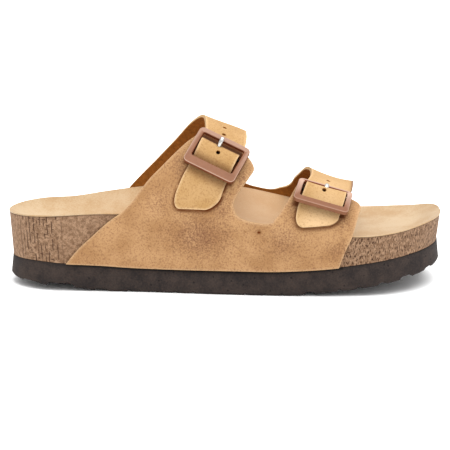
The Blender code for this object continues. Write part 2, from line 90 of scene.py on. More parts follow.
# %% Colours and nodes
def linear(code):
    """A hex colour as linear red, green, blue and alpha."""
    shades = [int(code[start : start + 2], 16) / 255 for start in (1, 3, 5)]
    return [s / 12.92 if s <= 0.04045 else ((s + 0.055) / 1.055) ** 2.4 for s in shades] + [1.0]


def plug(made, sockets):
    """Fills sockets with plain values, or with links from a socket or a node's first output."""
    for name, value in sockets.items():
        if isinstance(value, bpy.types.Node):
            value = value.outputs[0]
        if isinstance(value, bpy.types.NodeSocket):
            made.id_data.links.new(value, made.inputs[name])
        else:
            made.inputs[name].default_value = value


def node(tree, kind, sockets, **options):
    """Adds a node, sets its options and fills its sockets."""
    made = tree.nodes.new("ShaderNode" + kind)
    for name, value in options.items():
        setattr(made, name, value)
    plug(made, sockets)
    return made


# A colour mix node has sockets for each kind of data, so its colour ones are found by number.
FACTOR, UNDER, OVER, MIXED = 0, 6, 7, 2


def layered(tree, first, *layers):
    """Colours laid over a first one, each by an amount or by a value painted on the mesh."""
    colour = linear(first)
    for amount, over in layers:
        if isinstance(amount, str):
            amount = node(tree, "Attribute", {}, attribute_name=amount).outputs["Fac"]
        layer = {FACTOR: amount, UNDER: colour, OVER: linear(over)}
        colour = node(tree, "Mix", layer, data_type="RGBA").outputs[MIXED]
    return colour


def start_finish(name):
    """A new material with its shader, and the place on the object in metres."""
    material = bpy.data.materials.new(name)
    material.use_nodes = True
    tree = material.node_tree
    place = node(tree, "TexCoord", {}).outputs["Object"]
    return material, tree, tree.nodes["Principled BSDF"], place


def per_metre(size):
    """The scale of a texture whose features are this many millimetres wide."""
    return 1 / (size * MM)


print("tan leather in linear light:", [round(c, 3) for c in linear("#c99a68")])

# %% [markdown]
# ## Floor and light
# The photograph has a white floor that fades into white, and a soft grey shadow close under the
# sole. An even white world gives the fade. The large softbox above the camera is a sun lamp with a
# very wide disc: its light is as soft, and it reaches the far floor as strongly as the near one. A
# small softbox at the side only adds a glint to the buckles.

# %% Floor and light
FLOOR_HALF = 14.0
SKY_STRENGTH = 1.15
SOFTBOX_FROM = Vector((0.15, -0.12, 1.0))
SOFTBOX_WIDE, SOFTBOX_STRENGTH = math.radians(64), 2.9
GLINT_SPOT, GLINT_SIZE, GLINT_POWER = Vector((0.7, -1.2, 1.0)), 0.35, 1.0


def hang(kind, name, spot, **settings):
    """Hangs a lamp at a place so that it points at the shoe."""
    lamp = bpy.data.lights.new(name, kind)
    for setting, value in settings.items():
        setattr(lamp, setting, value)
    hung = bpy.data.objects.new(name, lamp)
    hung.location = spot
    hung.rotation_euler = (SIGHT_POINT - hung.location).to_track_quat("-Z", "Y").to_euler()
    bpy.context.scene.collection.objects.link(hung)
    print(name, "at", [round(value, 2) for value in spot])


world = bpy.data.worlds.new("white_studio")
world.use_nodes = True
sky = {"Color": linear("#ffffff"), "Strength": SKY_STRENGTH}
plug(world.node_tree.nodes["Background"], sky)
bpy.context.scene.world = world
bpy.context.scene.view_settings.view_transform = "Standard"
hang("SUN", "softbox_above", SOFTBOX_FROM, angle=SOFTBOX_WIDE, energy=SOFTBOX_STRENGTH)
hang("AREA", "softbox_glint", GLINT_SPOT, size=GLINT_SIZE, energy=GLINT_POWER)

paper, _, shader, _ = start_finish("white_paper_floor")
plug(shader, {"Base Color": linear("#fdfdfd"), "Roughness": 0.9, "Specular IOR Level": 0.1})
corners = [(x * FLOOR_HALF, y * FLOOR_HALF, 0) for x, y in ((-1, -1), (1, -1), (1, 1), (-1, 1))]
floor_mesh = bpy.data.meshes.new("floor")
floor_mesh.from_pydata(corners, [], [(0, 1, 2, 3)])
floor_mesh.materials.append(paper)
floor = bpy.data.objects.new("floor", floor_mesh)
bpy.context.scene.collection.objects.link(floor)

# %% [markdown]
# ## Nubuck
# The upper is nubuck: cowhide whose grain side was sanded to a very short nap and then oiled. It is
# matt, tan, and finely speckled. The nap itself is finer than a pixel, so its speckle is drawn
# about a millimetre wide.
# Three values painted on the mesh steer it. Burnish brings out reddish brown specks where hands and
# buckles have polished it. The second makes a cut edge pale where it is rubbed, and is painted
# light on the toe strap's flap. The third is painted shade, dark brown under the flaps and in and
# under the buckles, and it also holds two small dark spots.

# %% Nubuck
# the dark brown of the painted shade, and of two small dark spots
SHADE_AND_SPOTS = "#57290b"
SPECKLE_SHARE, BURNISH_SHARE = -0.4, 0.24


def nubuck(name, shade, tan, pale, burnt):
    material, tree, shader, place = start_finish(name)
    cloud = node(tree, "TexNoise", {"Vector": place, "Scale": per_metre(16), "Detail": 5.0})
    speckle = {"Vector": place, "Scale": per_metre(1.0), "Detail": 3.0, "Roughness": 0.7}
    speckle = node(tree, "TexNoise", speckle)
    burnish = node(tree, "Attribute", {}, attribute_name="burnish").outputs["Fac"]
    mottle = {0: speckle, 1: SPECKLE_SHARE, 2: cloud}
    mottle = node(tree, "Math", mottle, operation="MULTIPLY_ADD")
    tone = node(tree, "MapRange", {"Value": mottle, "From Min": 0.16, "From Max": 0.44})
    wear = {0: burnish, 1: BURNISH_SHARE, 2: speckle}
    wear = node(tree, "Math", wear, operation="MULTIPLY_ADD")
    specks = node(tree, "MapRange", {"Value": wear, "From Min": 0.56, "From Max": 0.88})
    # the second layer is the pale rubbed edge plus painted light, and the last is painted shade and
    # spots
    layers = ((tone, tan), ("rubbed_and_lit", pale), (specks, burnt), ("painted_shade_and_spots", SHADE_AND_SPOTS))
    nap = node(tree, "Bump", {"Strength": 0.6, "Distance": 0.3 * MM, "Height": speckle})
    plug(
        shader,
        {
            "Base Color": layered(tree, shade, *layers),
            "Roughness": 0.82,
            "IOR": 1.45,
            "Specular IOR Level": 0.1,
            "Sheen Weight": 0.03,
            "Sheen Roughness": 0.5,
            "Normal": nap,
        },
    )
    return material


panel_nubuck = nubuck("nubuck_sanded_and_oiled", "#98724c", "#ab855d", "#b89672", "#6c4836")
strap_nubuck = nubuck("nubuck_lightly_oiled", "#a48051", "#af8c5f", "#ccac83", "#886340")
print("finishes:", panel_nubuck.name, "and", strap_nubuck.name)

# %% [markdown]
# ## Flesh side and cut edge
# The back of the hide is left as it was split: a rough, dark brown flesh side of short fibres. It
# shows inside the straps. The knife leaves a pale, dry edge all round each piece, which takes the
# same painted shade as the grain side.

# %% Flesh side and cut edge
flesh_side, tree, shader, place = start_finish("hide_flesh_side_as_split")
fibre = {"Vector": place, "Scale": per_metre(2.2), "Detail": 6.0, "Roughness": 0.7}
fibre = node(tree, "TexNoise", fibre)
colour = layered(tree, "#522c08", (fibre, "#a9692c"))
fuzz = node(tree, "Bump", {"Strength": 0.5, "Distance": 0.5 * MM, "Height": fibre})
plug(shader, {"Base Color": colour, "Roughness": 0.95, "Specular IOR Level": 0.15, "Normal": fuzz})

cut_edge, tree, shader, place = start_finish("hide_cut_edge")
fibre = node(tree, "TexNoise", {"Vector": place, "Scale": per_metre(1.0), "Detail": 4.0})
# the last layer is painted shade
colour = layered(tree, "#a07a4e", (fibre, "#b59871"), ("painted_shade_and_spots", SHADE_AND_SPOTS))
plug(shader, {"Base Color": colour, "Roughness": 0.9, "Specular IOR Level": 0.2})
print("finishes:", flesh_side.name, "and", cut_edge.name)

# %% [markdown]
# ## Suede
# The bed is covered with suede, which is hide brushed on its flesh side. It is paler and more even
# than the upper, with soft clouds where the nap lies one way or the other. Along the middle of the
# bed, under the straps, it is painted darker and redder as warm shade.

# %% Suede
NAP_SHARE = 0.6

suede, tree, shader, place = start_finish("suede_brushed")
cloud, nap = (
    node(
        tree,
        "TexNoise",
        {"Vector": place, "Scale": per_metre(size), "Detail": detail, "Roughness": 0.6},
    )
    for size, detail in ((22, 6.0), (0.9, 3.0))
)
lie = node(tree, "Math", {0: nap, 1: NAP_SHARE, 2: cloud}, operation="MULTIPLY_ADD")
tone = node(tree, "MapRange", {"Value": lie, "From Min": 0.66, "From Max": 0.93})
plug(
    shader,
    {
        "Base Color": layered(tree, "#a38560", (tone, "#b29b7c"), ("pressed", "#b8906a")),
        "Roughness": 0.9,
        "Specular IOR Level": 0.2,
        "Sheen Weight": 0.15,
        "Normal": node(tree, "Bump", {"Strength": 0.3, "Distance": 0.3 * MM, "Height": nap}),
    },
)
print("finish:", suede.name)

# %% [markdown]
# ## Cork
# The bed is wrapped in cork that was pressed from granules and shaved to a sheet. It shows brown
# grains a millimetre or two wide, and thin dark strokes where the bark's pores were cut: long ones
# with short links between them at the heel, and dense little flecks with a few strokes at the toe.
# A pattern in space would smear where it meets the wall at a slant, so this one is drawn on the
# wall itself. The mesh stores the way round the wall, which with the height makes a flat place.
# Strokes are then lines at steps that one noise spreads and another wiggles, and a third noise
# shows only some of each line. Flecks are one noise, stretched upwards.

# %% Cork
STROKES = (
    # 1 for upright strokes or 0 for level ones, their step, length and half width in mm, how much
    # noise hides them, and the middle and half width in metres of the part of the shoe they are on
    (1, 2.5, 7.0, 0.44, 0.44, -0.110, 0.017),
    (0, 3.1, 2.0, 0.40, 0.52, -0.109, 0.014),
    (1, 4.0, 4.5, 0.32, 0.52, 0.102, 0.034),
)
FLECKS = (
    # width and height of the flecks in mm, their strength, and the last three numbers as above
    (0.65, 2.1, 0.95, 0.55, 0.105, 0.044),
    (0.80, 1.0, 0.65, 0.62, -0.088, 0.036),
)
GRAIN_SHARE, SPECK_STRENGTH, CRACK_DEEP = 0.30, 0.45, -1.5
SPREAD, SPREAD_OVER = 1.6, 9.0
WIGGLE, WIGGLE_OVER = 0.35, 1.6
LINE_CORE = 0.3
ROW_APART = 5.3
NOISE_FADE, PATTERN_FADE = 0.08, 0.008
PORE_AND_SHADE = "#391e0a"

cork, tree, shader, place = start_finish("cork_pressed_and_shaved")
way = node(tree, "Attribute", {}, attribute_name="round_wall").outputs["Fac"]
spot = node(tree, "SeparateXYZ", {"Vector": place}).outputs
flat = node(tree, "CombineXYZ", {"X": way, "Y": spot["Z"]})
grain = {"Vector": flat, "Scale": per_metre(1.7), "Randomness": 1.0}
grain = node(tree, "TexVoronoi", grain, voronoi_dimensions="2D")
cloud = {"Vector": place, "Scale": per_metre(1.6), "Detail": 5.0, "Roughness": 0.75}
cloud = node(tree, "TexNoise", cloud)
tone = node(tree, "RGBToBW", {"Color": grain.outputs["Color"]})
tone = node(tree, "Math", {0: tone, 1: GRAIN_SHARE, 2: cloud}, operation="MULTIPLY_ADD")
tone = node(tree, "MapRange", {"Value": tone, "From Min": 0.49, "From Max": 0.81})
speck = node(tree, "MapRange", {"Value": grain, "From Min": 0.16, "From Max": 0.06})
crack = node(tree, "Math", {0: speck, 1: SPECK_STRENGTH}, operation="MULTIPLY")


def show_some(amount, cells, hidden, middle, reach):
    """Part of a pattern: where a noise is high enough, and on one part of the shoe."""
    noise = {"Vector": cells, "Scale": 1.0, "Detail": 2.0}
    noise = node(tree, "TexNoise", noise, noise_dimensions="2D")
    off = node(tree, "Math", {0: spot["X"], 1: middle}, operation="SUBTRACT")
    off = node(tree, "Math", {0: off}, operation="ABSOLUTE")
    for value, none, full in (
        (noise, hidden, hidden + NOISE_FADE),
        (off, reach, reach - PATTERN_FADE),
    ):
        shown = node(tree, "MapRange", {"Value": value, "From Min": none, "From Max": full})
        amount = node(tree, "Math", {0: amount, 1: shown}, operation="MULTIPLY")
    return amount


for wide, tall, strength, *where in FLECKS:
    cells = {"Vector": flat, "Scale": (per_metre(wide), per_metre(tall), 1.0)}
    fleck = show_some(strength, node(tree, "Mapping", cells), *where)
    crack = node(tree, "Math", {0: crack, 1: fleck}, operation="MAXIMUM")
for upright, step, length, half, *where in STROKES:
    over, along = (way, spot["Z"]) if upright else (spot["Z"], way)
    lines = node(tree, "Math", {0: over, 1: per_metre(step)}, operation="MULTIPLY")
    for amount, size, detail, kind, reads in (
        (SPREAD, SPREAD_OVER, 1.0, "1D", {"W": over}),
        (WIGGLE, WIGGLE_OVER * step, 4.0, "2D", {"Vector": flat}),
    ):
        bend = {"Scale": per_metre(size), "Detail": detail} | reads
        bend = node(tree, "TexNoise", bend, noise_dimensions=kind)
        lines = node(tree, "Math", {0: bend, 1: amount, 2: lines}, operation="MULTIPLY_ADD")
    away = node(tree, "Math", {0: lines, 1: 0.5}, operation="PINGPONG")
    line = {"Value": away, "From Min": half / step, "From Max": LINE_CORE * half / step}
    line = node(tree, "MapRange", line)
    # each line reads its own row of the noise
    row = node(tree, "Math", {0: lines}, operation="ROUND")
    row = node(tree, "Math", {0: row, 1: ROW_APART}, operation="MULTIPLY")
    on = node(tree, "Math", {0: along, 1: per_metre(length)}, operation="MULTIPLY")
    stroke = show_some(line, node(tree, "CombineXYZ", {"X": row, "Y": on}), *where)
    crack = node(tree, "Math", {0: crack, 1: stroke}, operation="MAXIMUM")
# the last layer is painted shade along the top of the cork, under the suede's edge
colour = layered(tree, "#6f523a", (tone, "#997a5f"), (crack, PORE_AND_SHADE), ("painted_shade_line", PORE_AND_SHADE))
depth = node(tree, "Math", {0: crack, 1: CRACK_DEEP, 2: tone}, operation="MULTIPLY_ADD")
cracks = node(tree, "Bump", {"Strength": 0.5, "Distance": 0.3 * MM, "Height": depth})
plug(shader, {"Base Color": colour, "Roughness": 0.8, "Specular IOR Level": 0.3, "Normal": cracks})
print("finish:", cork.name, "with", len(STROKES), "kinds of strokes")

# %% [markdown]
# ## Foam outsole
# The outsole is EVA, a light foam rubber that is cut and ground to shape. Grinding leaves a dull,
# dark brown-grey face with a fine grain and a few open pores. Painted shade darkens the top of its
# wall, in the corner under the leather.

# %% Foam outsole
FOAM_GRAIN, PORE_DEEP = 0.9, -1.0

foam, tree, shader, place = start_finish("eva_foam_ground")
grain = {"Vector": place, "Scale": per_metre(1.0), "Detail": 4.0, "Roughness": 0.7}
grain = node(tree, "TexNoise", grain)
cloud = node(tree, "TexNoise", {"Vector": place, "Scale": per_metre(9), "Detail": 3.0})
pore = node(tree, "TexVoronoi", {"Vector": place, "Scale": per_metre(5.0), "Randomness": 1.0})
hole = node(tree, "MapRange", {"Value": pore, "From Min": 0.16, "From Max": 0.06})
tone = node(tree, "Math", {0: grain, 1: FOAM_GRAIN, 2: cloud}, operation="MULTIPLY_ADD")
tone = node(tree, "MapRange", {"Value": tone, "From Min": 0.74, "From Max": 1.16})
# the last layer is painted shade under the leather
colour = layered(tree, "#201a19", (tone, "#372d28"), (hole, "#140e0d"), ("painted_shade_line", "#090605"))
depth = node(tree, "Math", {0: hole, 1: PORE_DEEP, 2: grain}, operation="MULTIPLY_ADD")
pores = node(tree, "Bump", {"Strength": 0.4, "Distance": 0.35 * MM, "Height": depth})
plug(shader, {"Base Color": colour, "Roughness": 0.85, "Specular IOR Level": 0.25, "Normal": pores})
print("finish:", foam.name)

# %% [markdown]
# ## Buckle resin and pin steel
# The frames are moulded from brown resin, glossy on their faces and dull on their walls. Two
# values painted on the mesh set their colour: painted shade darkens the walls, and painted
# highlights lighten parts of the faces and a line along each soft edge. The pins are steel wire:
# the prong is polished by use, and the axle under the strap is dull and painted dark as shade.

# %% Buckle resin and pin steel
resin, tree, shader, place = start_finish("resin_moulded_and_tumbled")
cloud = {"Vector": place, "Scale": per_metre(7), "Detail": 2.0, "Distortion": 1.0}
cloud = node(tree, "TexNoise", cloud)
# wall holds painted shade on the walls and makes them dull; the last layer is painted highlight
wall = node(tree, "Attribute", {}, attribute_name="wall").outputs["Fac"]
colour = layered(tree, "#6e442b", (cloud, "#805439"), (wall, "#5e2806"), ("lit_and_worn", "#cdae9b"))
dull = node(tree, "MapRange", {"Value": wall, "To Min": 0.28, "To Max": 0.9})
plug(shader, {"Base Color": colour, "Roughness": dull, "IOR": 1.5, "Specular IOR Level": 0.2})

# the axle's dark colour is painted shade: it stays as dark as the shaded window around it
shade_dark_steel, _, shader, _ = start_finish("steel_wire_painted_dark")
plug(shader, {"Base Color": linear("#211a16"), "Metallic": 1.0, "Roughness": 0.6})

steel, tree, shader, place = start_finish("steel_wire_polished")
scratch = node(tree, "TexNoise", {"Vector": place, "Scale": per_metre(0.8), "Detail": 3.0})
dull = node(tree, "MapRange", {"Value": scratch, "To Min": 0.12, "To Max": 0.3})
plug(shader, {"Base Color": linear("#b8b7b4"), "Metallic": 1.0, "Roughness": dull})
print("finishes:", resin.name, "and", steel.name)

# %% [markdown]
# ## Sizes of the shoe
# Everything is measured in millimetres. "along" runs from the heel to the toe, and "around" runs
# over the foot, from the outer seam (-1) by the crest (0) to the inner seam (1). Short tables hold
# the footprint, the heights of the sole and the last that the upper is pulled over, and a smooth
# curve is read between their rows. They are the sizes that the CAD solids have, but for the rims
# and the seam of the heel and the tip of the toe, which are up to 1.4 mm higher here.

# %% Sizes of the shoe
LENGTH = 262.0
MIDDLE_Y = -1.15
HEEL_ROUND, TOE_ROUND, TOE_SQUARENESS = 34.0, 46.0, 2.35
END_TURN = 0.03
SEAM_INSET = 2.2
GAP = 0.3


def table(text):
    """Reads a line of column names and lines of numbers, as one array for each column."""
    names, *rows = (line.split() for line in text.strip().splitlines())
    return dict(zip(names, np.array(rows, float).T))


PLAN = table("""
    along middle half
      0 -2.0 31.0
     30 -2.0 31.5
     60 -1.8 33.5
     95 -1.8 35.5
    130 -1.6 39.0
    165 -0.6 45.0
    195  0.2 48.2
    220  1.0 47.5
    242  3.2 45.5
    262  6.0 44.5
""")
SIDE = table("""
    along tread seam outer_rim inner_rim bed cup
      0  5.0 16.4 44.2 44.2 44.1 2.6
      7  4.4 17.0 44.8 44.7 40.2 2.6
     18  3.4 17.2 45.4 45.2 37.4 2.6
     35  2.5 16.3 46.6 45.4 36.2 2.6
     58  0.5 15.6 47.9 48.5 36.8 2.6
     75 -0.6 14.6 47.7 50.6 37.4 2.4
    105 -0.6 13.8 46.2 52.4 37.8 2.2
    135 -0.6 13.8 43.8 50.6 36.4 2.4
    162 -0.6 14.3 40.5 44.2 33.4 2.8
    176  0.7 15.2 39.0 40.4 31.8 3.0
    195  2.8 16.9 37.3 36.4 31.0 3.2
    212  4.9 19.0 36.6 35.2 30.6 3.2
    235  8.5 22.2 38.6 36.2 32.0 3.0
    250 11.2 24.4 41.2 38.4 35.2 2.8
    262 13.4 26.0 42.7 42.7 42.5 2.8
""")
CREST = table("""
    along middle height full
     20  2.0 148.0  2.0
     60  3.0 126.0  2.0
     90  3.5 112.0  2.0
    118  4.0  98.3  2.0
    145  5.0  87.4  2.0
    165  6.5  75.2  1.9
    178  8.0  67.2  1.9
    190  9.2  61.2 2.05
    200  9.8  57.6 2.22
    212 10.0  55.4 2.35
    225 10.0  54.5  2.4
""")


def read(rows, column, at):
    """Reads a column of a table at a place in its first column, on a smooth curve."""
    keys, values = next(iter(rows.values())), rows[column]
    if keys[0] > keys[-1]:
        keys, values = keys[::-1], values[::-1]
    at = np.clip(np.asarray(at, float), keys[0], keys[-1])
    slopes = np.gradient(values, keys)
    start = np.clip(np.searchsorted(keys, at) - 1, 0, len(keys) - 2)
    span = keys[start + 1] - keys[start]
    share = (at - keys[start]) / span
    rest = 1 - share
    return (
        values[start] * rest**2 * (1 + 2 * share)
        + values[start + 1] * share**2 * (1 + 2 * rest)
        + span * share * rest * (slopes[start] * rest - slopes[start + 1] * share)
    )


print("half width at the ball:", round(float(read(PLAN, "half", 190)), 1), "mm")

# %% [markdown]
# ## Meshes from points
# A piece becomes a mesh from an array of points and a list of faces. The points turn into metres,
# and the shoe's middle moves to the frame's origin. All faces are turned to look outward, because
# other programs may draw only a face's front. Each piece then rides on the frame's one body, and
# the CAD node that it stands for is hidden.

# %% Meshes from points
SHARP = math.radians(38)
JOIN_SHARE = 0.74


def make_piece(name, points, faces, finishes, finish_of=None):
    """A mesh object whose faces look outward. finish_of has the finish number of each face."""
    points = np.asarray(points, float) - (LENGTH / 2, MIDDLE_Y, 0)
    mesh = bpy.data.meshes.new(name)
    mesh.from_pydata((points * MM).tolist(), [], faces)
    outward = bmesh.new()
    outward.from_mesh(mesh)
    bmesh.ops.recalc_face_normals(outward, faces=outward.faces)
    outward.to_mesh(mesh)
    outward.free()
    for finish in finishes:
        mesh.materials.append(finish)
    if finish_of is not None:
        mesh.polygons.foreach_set("material_index", np.asarray(finish_of, np.int32))
    mesh.shade_smooth()
    mesh.set_sharp_from_angle(angle=SHARP)
    piece = bpy.data.objects.new(name, mesh)
    bpy.context.scene.collection.objects.link(piece)
    return piece


def stand_for(piece, cad_node):
    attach(piece, "root")
    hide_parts(cad_node)
    print(piece.name, "stands for", cad_node, "with", len(piece.data.polygons), "faces")


def paint(piece, name, values):
    """Stores one value for each point, which a finish reads by name."""
    stored = piece.data.attributes.new(name, "FLOAT", "POINT")
    stored.data.foreach_set("value", np.asarray(values, np.float32))


def places_of(piece):
    """The points of a piece in the shoe's own millimetres."""
    points = np.array([vertex.co for vertex in piece.data.vertices])
    return points / MM + (LENGTH / 2, MIDDLE_Y, 0)


def grid_faces(rows, columns, first=0):
    return [
        [first + row * columns + column + step for step in (0, 1, columns + 1, columns)]
        for row in range(rows - 1)
        for column in range(columns - 1)
    ]


def rim_of(grid):
    """The points on the edge of a grid, once round."""
    return np.concatenate([grid[:-1, 0], grid[-1, :-1], grid[:0:-1, -1], grid[0, :0:-1]])


def make_slab(name, bottom, rings, top, finishes):
    """A closed slab: a bottom grid, rings up its side wall and a top grid.

    The way round the wall is painted on it in metres, with its join on the inner side.
    """
    rows, columns = bottom.shape[:2]
    size = rows * columns
    edge = rim_of(np.arange(size).reshape(rows, columns))
    points = [bottom.reshape(-1, 3), top.reshape(-1, 3)]
    faces = grid_faces(rows, columns) + grid_faces(rows, columns, size)
    levels = [edge]
    for ring in rings:
        levels.append(2 * size + len(edge) * (len(levels) - 1) + np.arange(len(edge)))
        points.append(rim_of(ring))
    levels.append(edge + size)
    for low, high in zip(levels, levels[1:]):
        walls = [np.roll(low, -1), low, high, np.roll(high, -1)]
        faces += np.stack(walls, axis=1).tolist()
    slab = make_piece(name, np.concatenate(points), faces, finishes)
    loop = rim_of(bottom)
    way = np.append(0, np.cumsum(np.linalg.norm(np.diff(loop, axis=0), axis=1)))
    way = np.where(way > JOIN_SHARE * way[-1], way - way[-1], way) * MM
    round_wall = np.zeros(len(slab.data.vertices))
    for level in levels:
        round_wall[level] = way
    paint(slab, "round_wall", round_wall)
    return slab


print("edges stay sharp from", round(math.degrees(SHARP)), "degrees")

# %% [markdown]
# ## Outsole
# The outsole lies flat under the shank and lifts at the heel and the toe, and its side leans out a
# little towards the floor. Wavy grooves cross the underside. They fade before the edge, which has
# shallow notches of its own, listed in a table as they come along the shoe.
# It is a slab of three parts: the tread as a close grid, rings up its side, and a hidden top.

# %% Outsole
TREAD_INSET, SIDE_INSET, TOP_INSET = 2.0, 0.8, 1.9
EDGE_ROUND, TOP_ROUND = 1.4, 0.25
GROOVE_PITCH, FIRST_GROOVE, LAST_GROOVE = 15.4, 20.0, 236.0
GROOVE_DEPTH, GROOVE_HALF, GROOVE_SLOPE = 2.2, 0.9, 1.3
GROOVES_END, EDGE_SHARE = 0.94, 0.08
WAVE_HEIGHT, WAVE_FADE = 4.0, 45.0
NOTCH_SLOPE, NOTCH_REACH, NOTCH_FADE = 2.0, 0.78, 0.08
NOTCH_UP, NOTCH_TAPER = 0.6, 4
FLARE, FLARE_MIDDLE, FLARE_HALF = 2.6, 127.0, 62.0
NOTCHES = table("""
    start end depth
      9.0  21.0 1.0
     24.1  41.6 2.0
     52.8  61.7 0.9
     72.3  75.3 1.0
     85.3  90.6 0.6
     99.5 103.0 0.8
    110.0 113.7 0.8
    141.5 143.8 0.8
    152.7 156.2 0.8
    162.7 165.7 0.9
    176.9 184.6 1.4
    196.4 200.0 1.3
    207.6 211.8 1.2
    220.6 226.4 1.3
    234.0 242.0 1.5
    249.4 255.0 1.2
""")
EDGE_ROLL = table("""
    inset lift
    0.75 0.10
    0.45 0.35
    0.15 0.75
    0.00 1.00
""")
WALL_STEPS, LAST_RINGS = 9, (0.95, 1.0)
# rings up the wall, closer near the top for the painted shade under the leather, then its depth and
# strength, and where along it is full
SHADE_SHARE, SHADE_DEEP, SHADE_FULL = 0.88, 1.8, 1.2
SHADED_FROM, SHADED_TO, SHADED_ENDS = 40.0, 200.0, 0.35


def footprint(along, inset):
    """Middle line and half width of the footprint, drawn in by the inset."""
    heel = np.clip((HEEL_ROUND - along) / (HEEL_ROUND - inset), 0, 1)
    toe = np.clip((along - LENGTH + TOE_ROUND) / (TOE_ROUND - inset), 0, 1)
    ends = np.sqrt(1 - heel**2) * (1 - toe**TOE_SQUARENESS) ** (1 / TOE_SQUARENESS)
    return read(PLAN, "middle", along), (read(PLAN, "half", along) - inset) * ends


def sole_grid(along, across, inset, height):
    """Points of one face of the sole. along has a row for each station."""
    drawn_in = inset + along * (LENGTH - 2 * inset) / LENGTH + 0 * across
    middle, half = footprint(drawn_in, inset)
    return np.stack([drawn_in, middle + half * across, height(drawn_in, across)], axis=-1)


def sole_stations(end_steps, middle_steps):
    """Places along the shoe, closer together towards the tips of the round heel and toe."""
    turns = np.linspace(END_TURN, math.pi / 2, end_steps)
    heel = HEEL_ROUND * (1 - np.cos(turns))
    toe = LENGTH - TOE_ROUND * (1 - np.cos(turns[::-1]))
    middle = np.linspace(HEEL_ROUND, LENGTH - TOE_ROUND, middle_steps)
    return np.concatenate([heel[:-1], middle, toe[1:]])[:, None]


def smooth(share):
    """A soft step from 0 to 1."""
    share = np.clip(share, 0, 1)
    return share * share * (3 - 2 * share)


def groove_depth(along, across):
    calm = np.clip(np.minimum(along, LENGTH - along) / WAVE_FADE, 0, 1) ** 2
    turn = along - WAVE_HEIGHT * calm * np.sin(2 * math.pi * across) - FIRST_GROOVE
    number = np.clip(np.round(turn / GROOVE_PITCH), 0, (LAST_GROOVE - FIRST_GROOVE) // GROOVE_PITCH)
    away = np.abs(turn - number * GROOVE_PITCH)
    inside = smooth((GROOVES_END - np.abs(across)) / EDGE_SHARE)
    return GROOVE_DEPTH * inside * smooth((GROOVE_HALF + GROOVE_SLOPE - away) / GROOVE_SLOPE)


def notch_depth(along):
    depth = 0 * along
    for start, end, deep in zip(*NOTCHES.values()):
        slope = min(NOTCH_SLOPE, (end - start) / 2)
        depth = np.maximum(depth, deep * smooth(np.minimum(along - start, end - along) / slope))
    return depth


def floor_height(along):
    return np.maximum(read(SIDE, "tread", along), 0)


def tread_height(along, across):
    edge = smooth((np.abs(across) - NOTCH_REACH) / NOTCH_FADE)
    return floor_height(along) + np.maximum(groove_depth(along, across), notch_depth(along) * edge)


def flared(grid, across, amount):
    """Leans the outer side of the waist out towards the floor."""
    waist = smooth(1 - np.abs(grid[..., 0] - FLARE_MIDDLE) / FLARE_HALF)
    grid[..., 1] -= FLARE * amount * waist * np.clip(-across, 0, 1) ** 2
    return grid


stations = sole_stations(end_steps=56, middle_steps=180)
across = np.linspace(-1, 1, num=71)
tread = flared(sole_grid(stations, across, TREAD_INSET, tread_height), across, 1.0)
rings = []
for inset, lift in zip(*EDGE_ROLL.values()):

    def round_the_edge(at, _):
        notch = notch_depth(at) * (1 - (1 - NOTCH_UP) * lift)
        return floor_height(at) + lift * EDGE_ROUND + notch

    drawn = SIDE_INSET + inset * (TREAD_INSET - SIDE_INSET)
    rings.append(flared(sole_grid(stations, across, drawn, round_the_edge), across, 1.0))
for share in np.append(np.linspace(0, SHADE_SHARE, WALL_STEPS)[1:], LAST_RINGS):

    def up_the_side(at, _):
        low = floor_height(at) + EDGE_ROUND
        high = read(SIDE, "seam", at) - TOP_ROUND
        notch = notch_depth(at) * NOTCH_UP * (1 - share) ** NOTCH_TAPER
        return low + (high - low) * share + notch

    drawn = SIDE_INSET + (TOP_INSET - SIDE_INSET) * share
    rings.append(flared(sole_grid(stations, across, drawn, up_the_side), across, 1 - share))
seam = sole_grid(stations, across, TOP_INSET + TOP_ROUND, lambda at, _: read(SIDE, "seam", at))
outsole = make_slab("outsole_foam", tread, rings, seam, [foam])
# painted shade at the top of the wall under the leather's overhang, full where the leather covers
# it
points = places_of(outsole)
below = read(SIDE, "seam", points[:, 0]) - points[:, 2]
covered = (points[:, 0] > SHADED_FROM) & (points[:, 0] < SHADED_TO)
paint(outsole, "painted_shade_line", smooth(SHADE_FULL - below / SHADE_DEEP) * np.where(covered, 1.0, SHADED_ENDS))
stand_for(outsole, "outsole")

# %% [markdown]
# ## Cork bed and suede cover
# The bed is a cup: high at the heel, with an arch on the inner side and a shallow hollow for the
# toes. One function gives the height of its top, and the cork and its cover are two slabs that
# share it. The cover is thin, with a soft edge, and stands just proud of the cork, which gives the
# pale line along the rim.

# %% Cork bed and suede cover
COVER_EDGE, COVER_ROUND, COVER_GAP, COVER_STEPS = 0.6, 0.3, 0.1, 6
CORK_DRAWN_IN, CORK_STEPS = 0.25, 12
# where painted shade starts up the cork's wall under the cover, and how dark it is at the top
CORK_SHADE_FROM, CORK_SHADE = 0.955, 0.75
WARM_SHADE_MIDDLE, WARM_SHADE_HALF, WARM_SHADE_SHARE = 135.0, 60.0, 0.6


def bed_height(along, across):
    """The face that the foot rests on: a cup from rim to rim."""
    rim = np.where(across < 0, read(SIDE, "outer_rim", along), read(SIDE, "inner_rim", along))
    bed = read(SIDE, "bed", along)
    return bed + (rim - bed) * np.abs(across) ** read(SIDE, "cup", along)


stations = sole_stations(end_steps=32, middle_steps=90)
across = np.sin(np.linspace(-1, 1, num=49) * math.pi / 2)

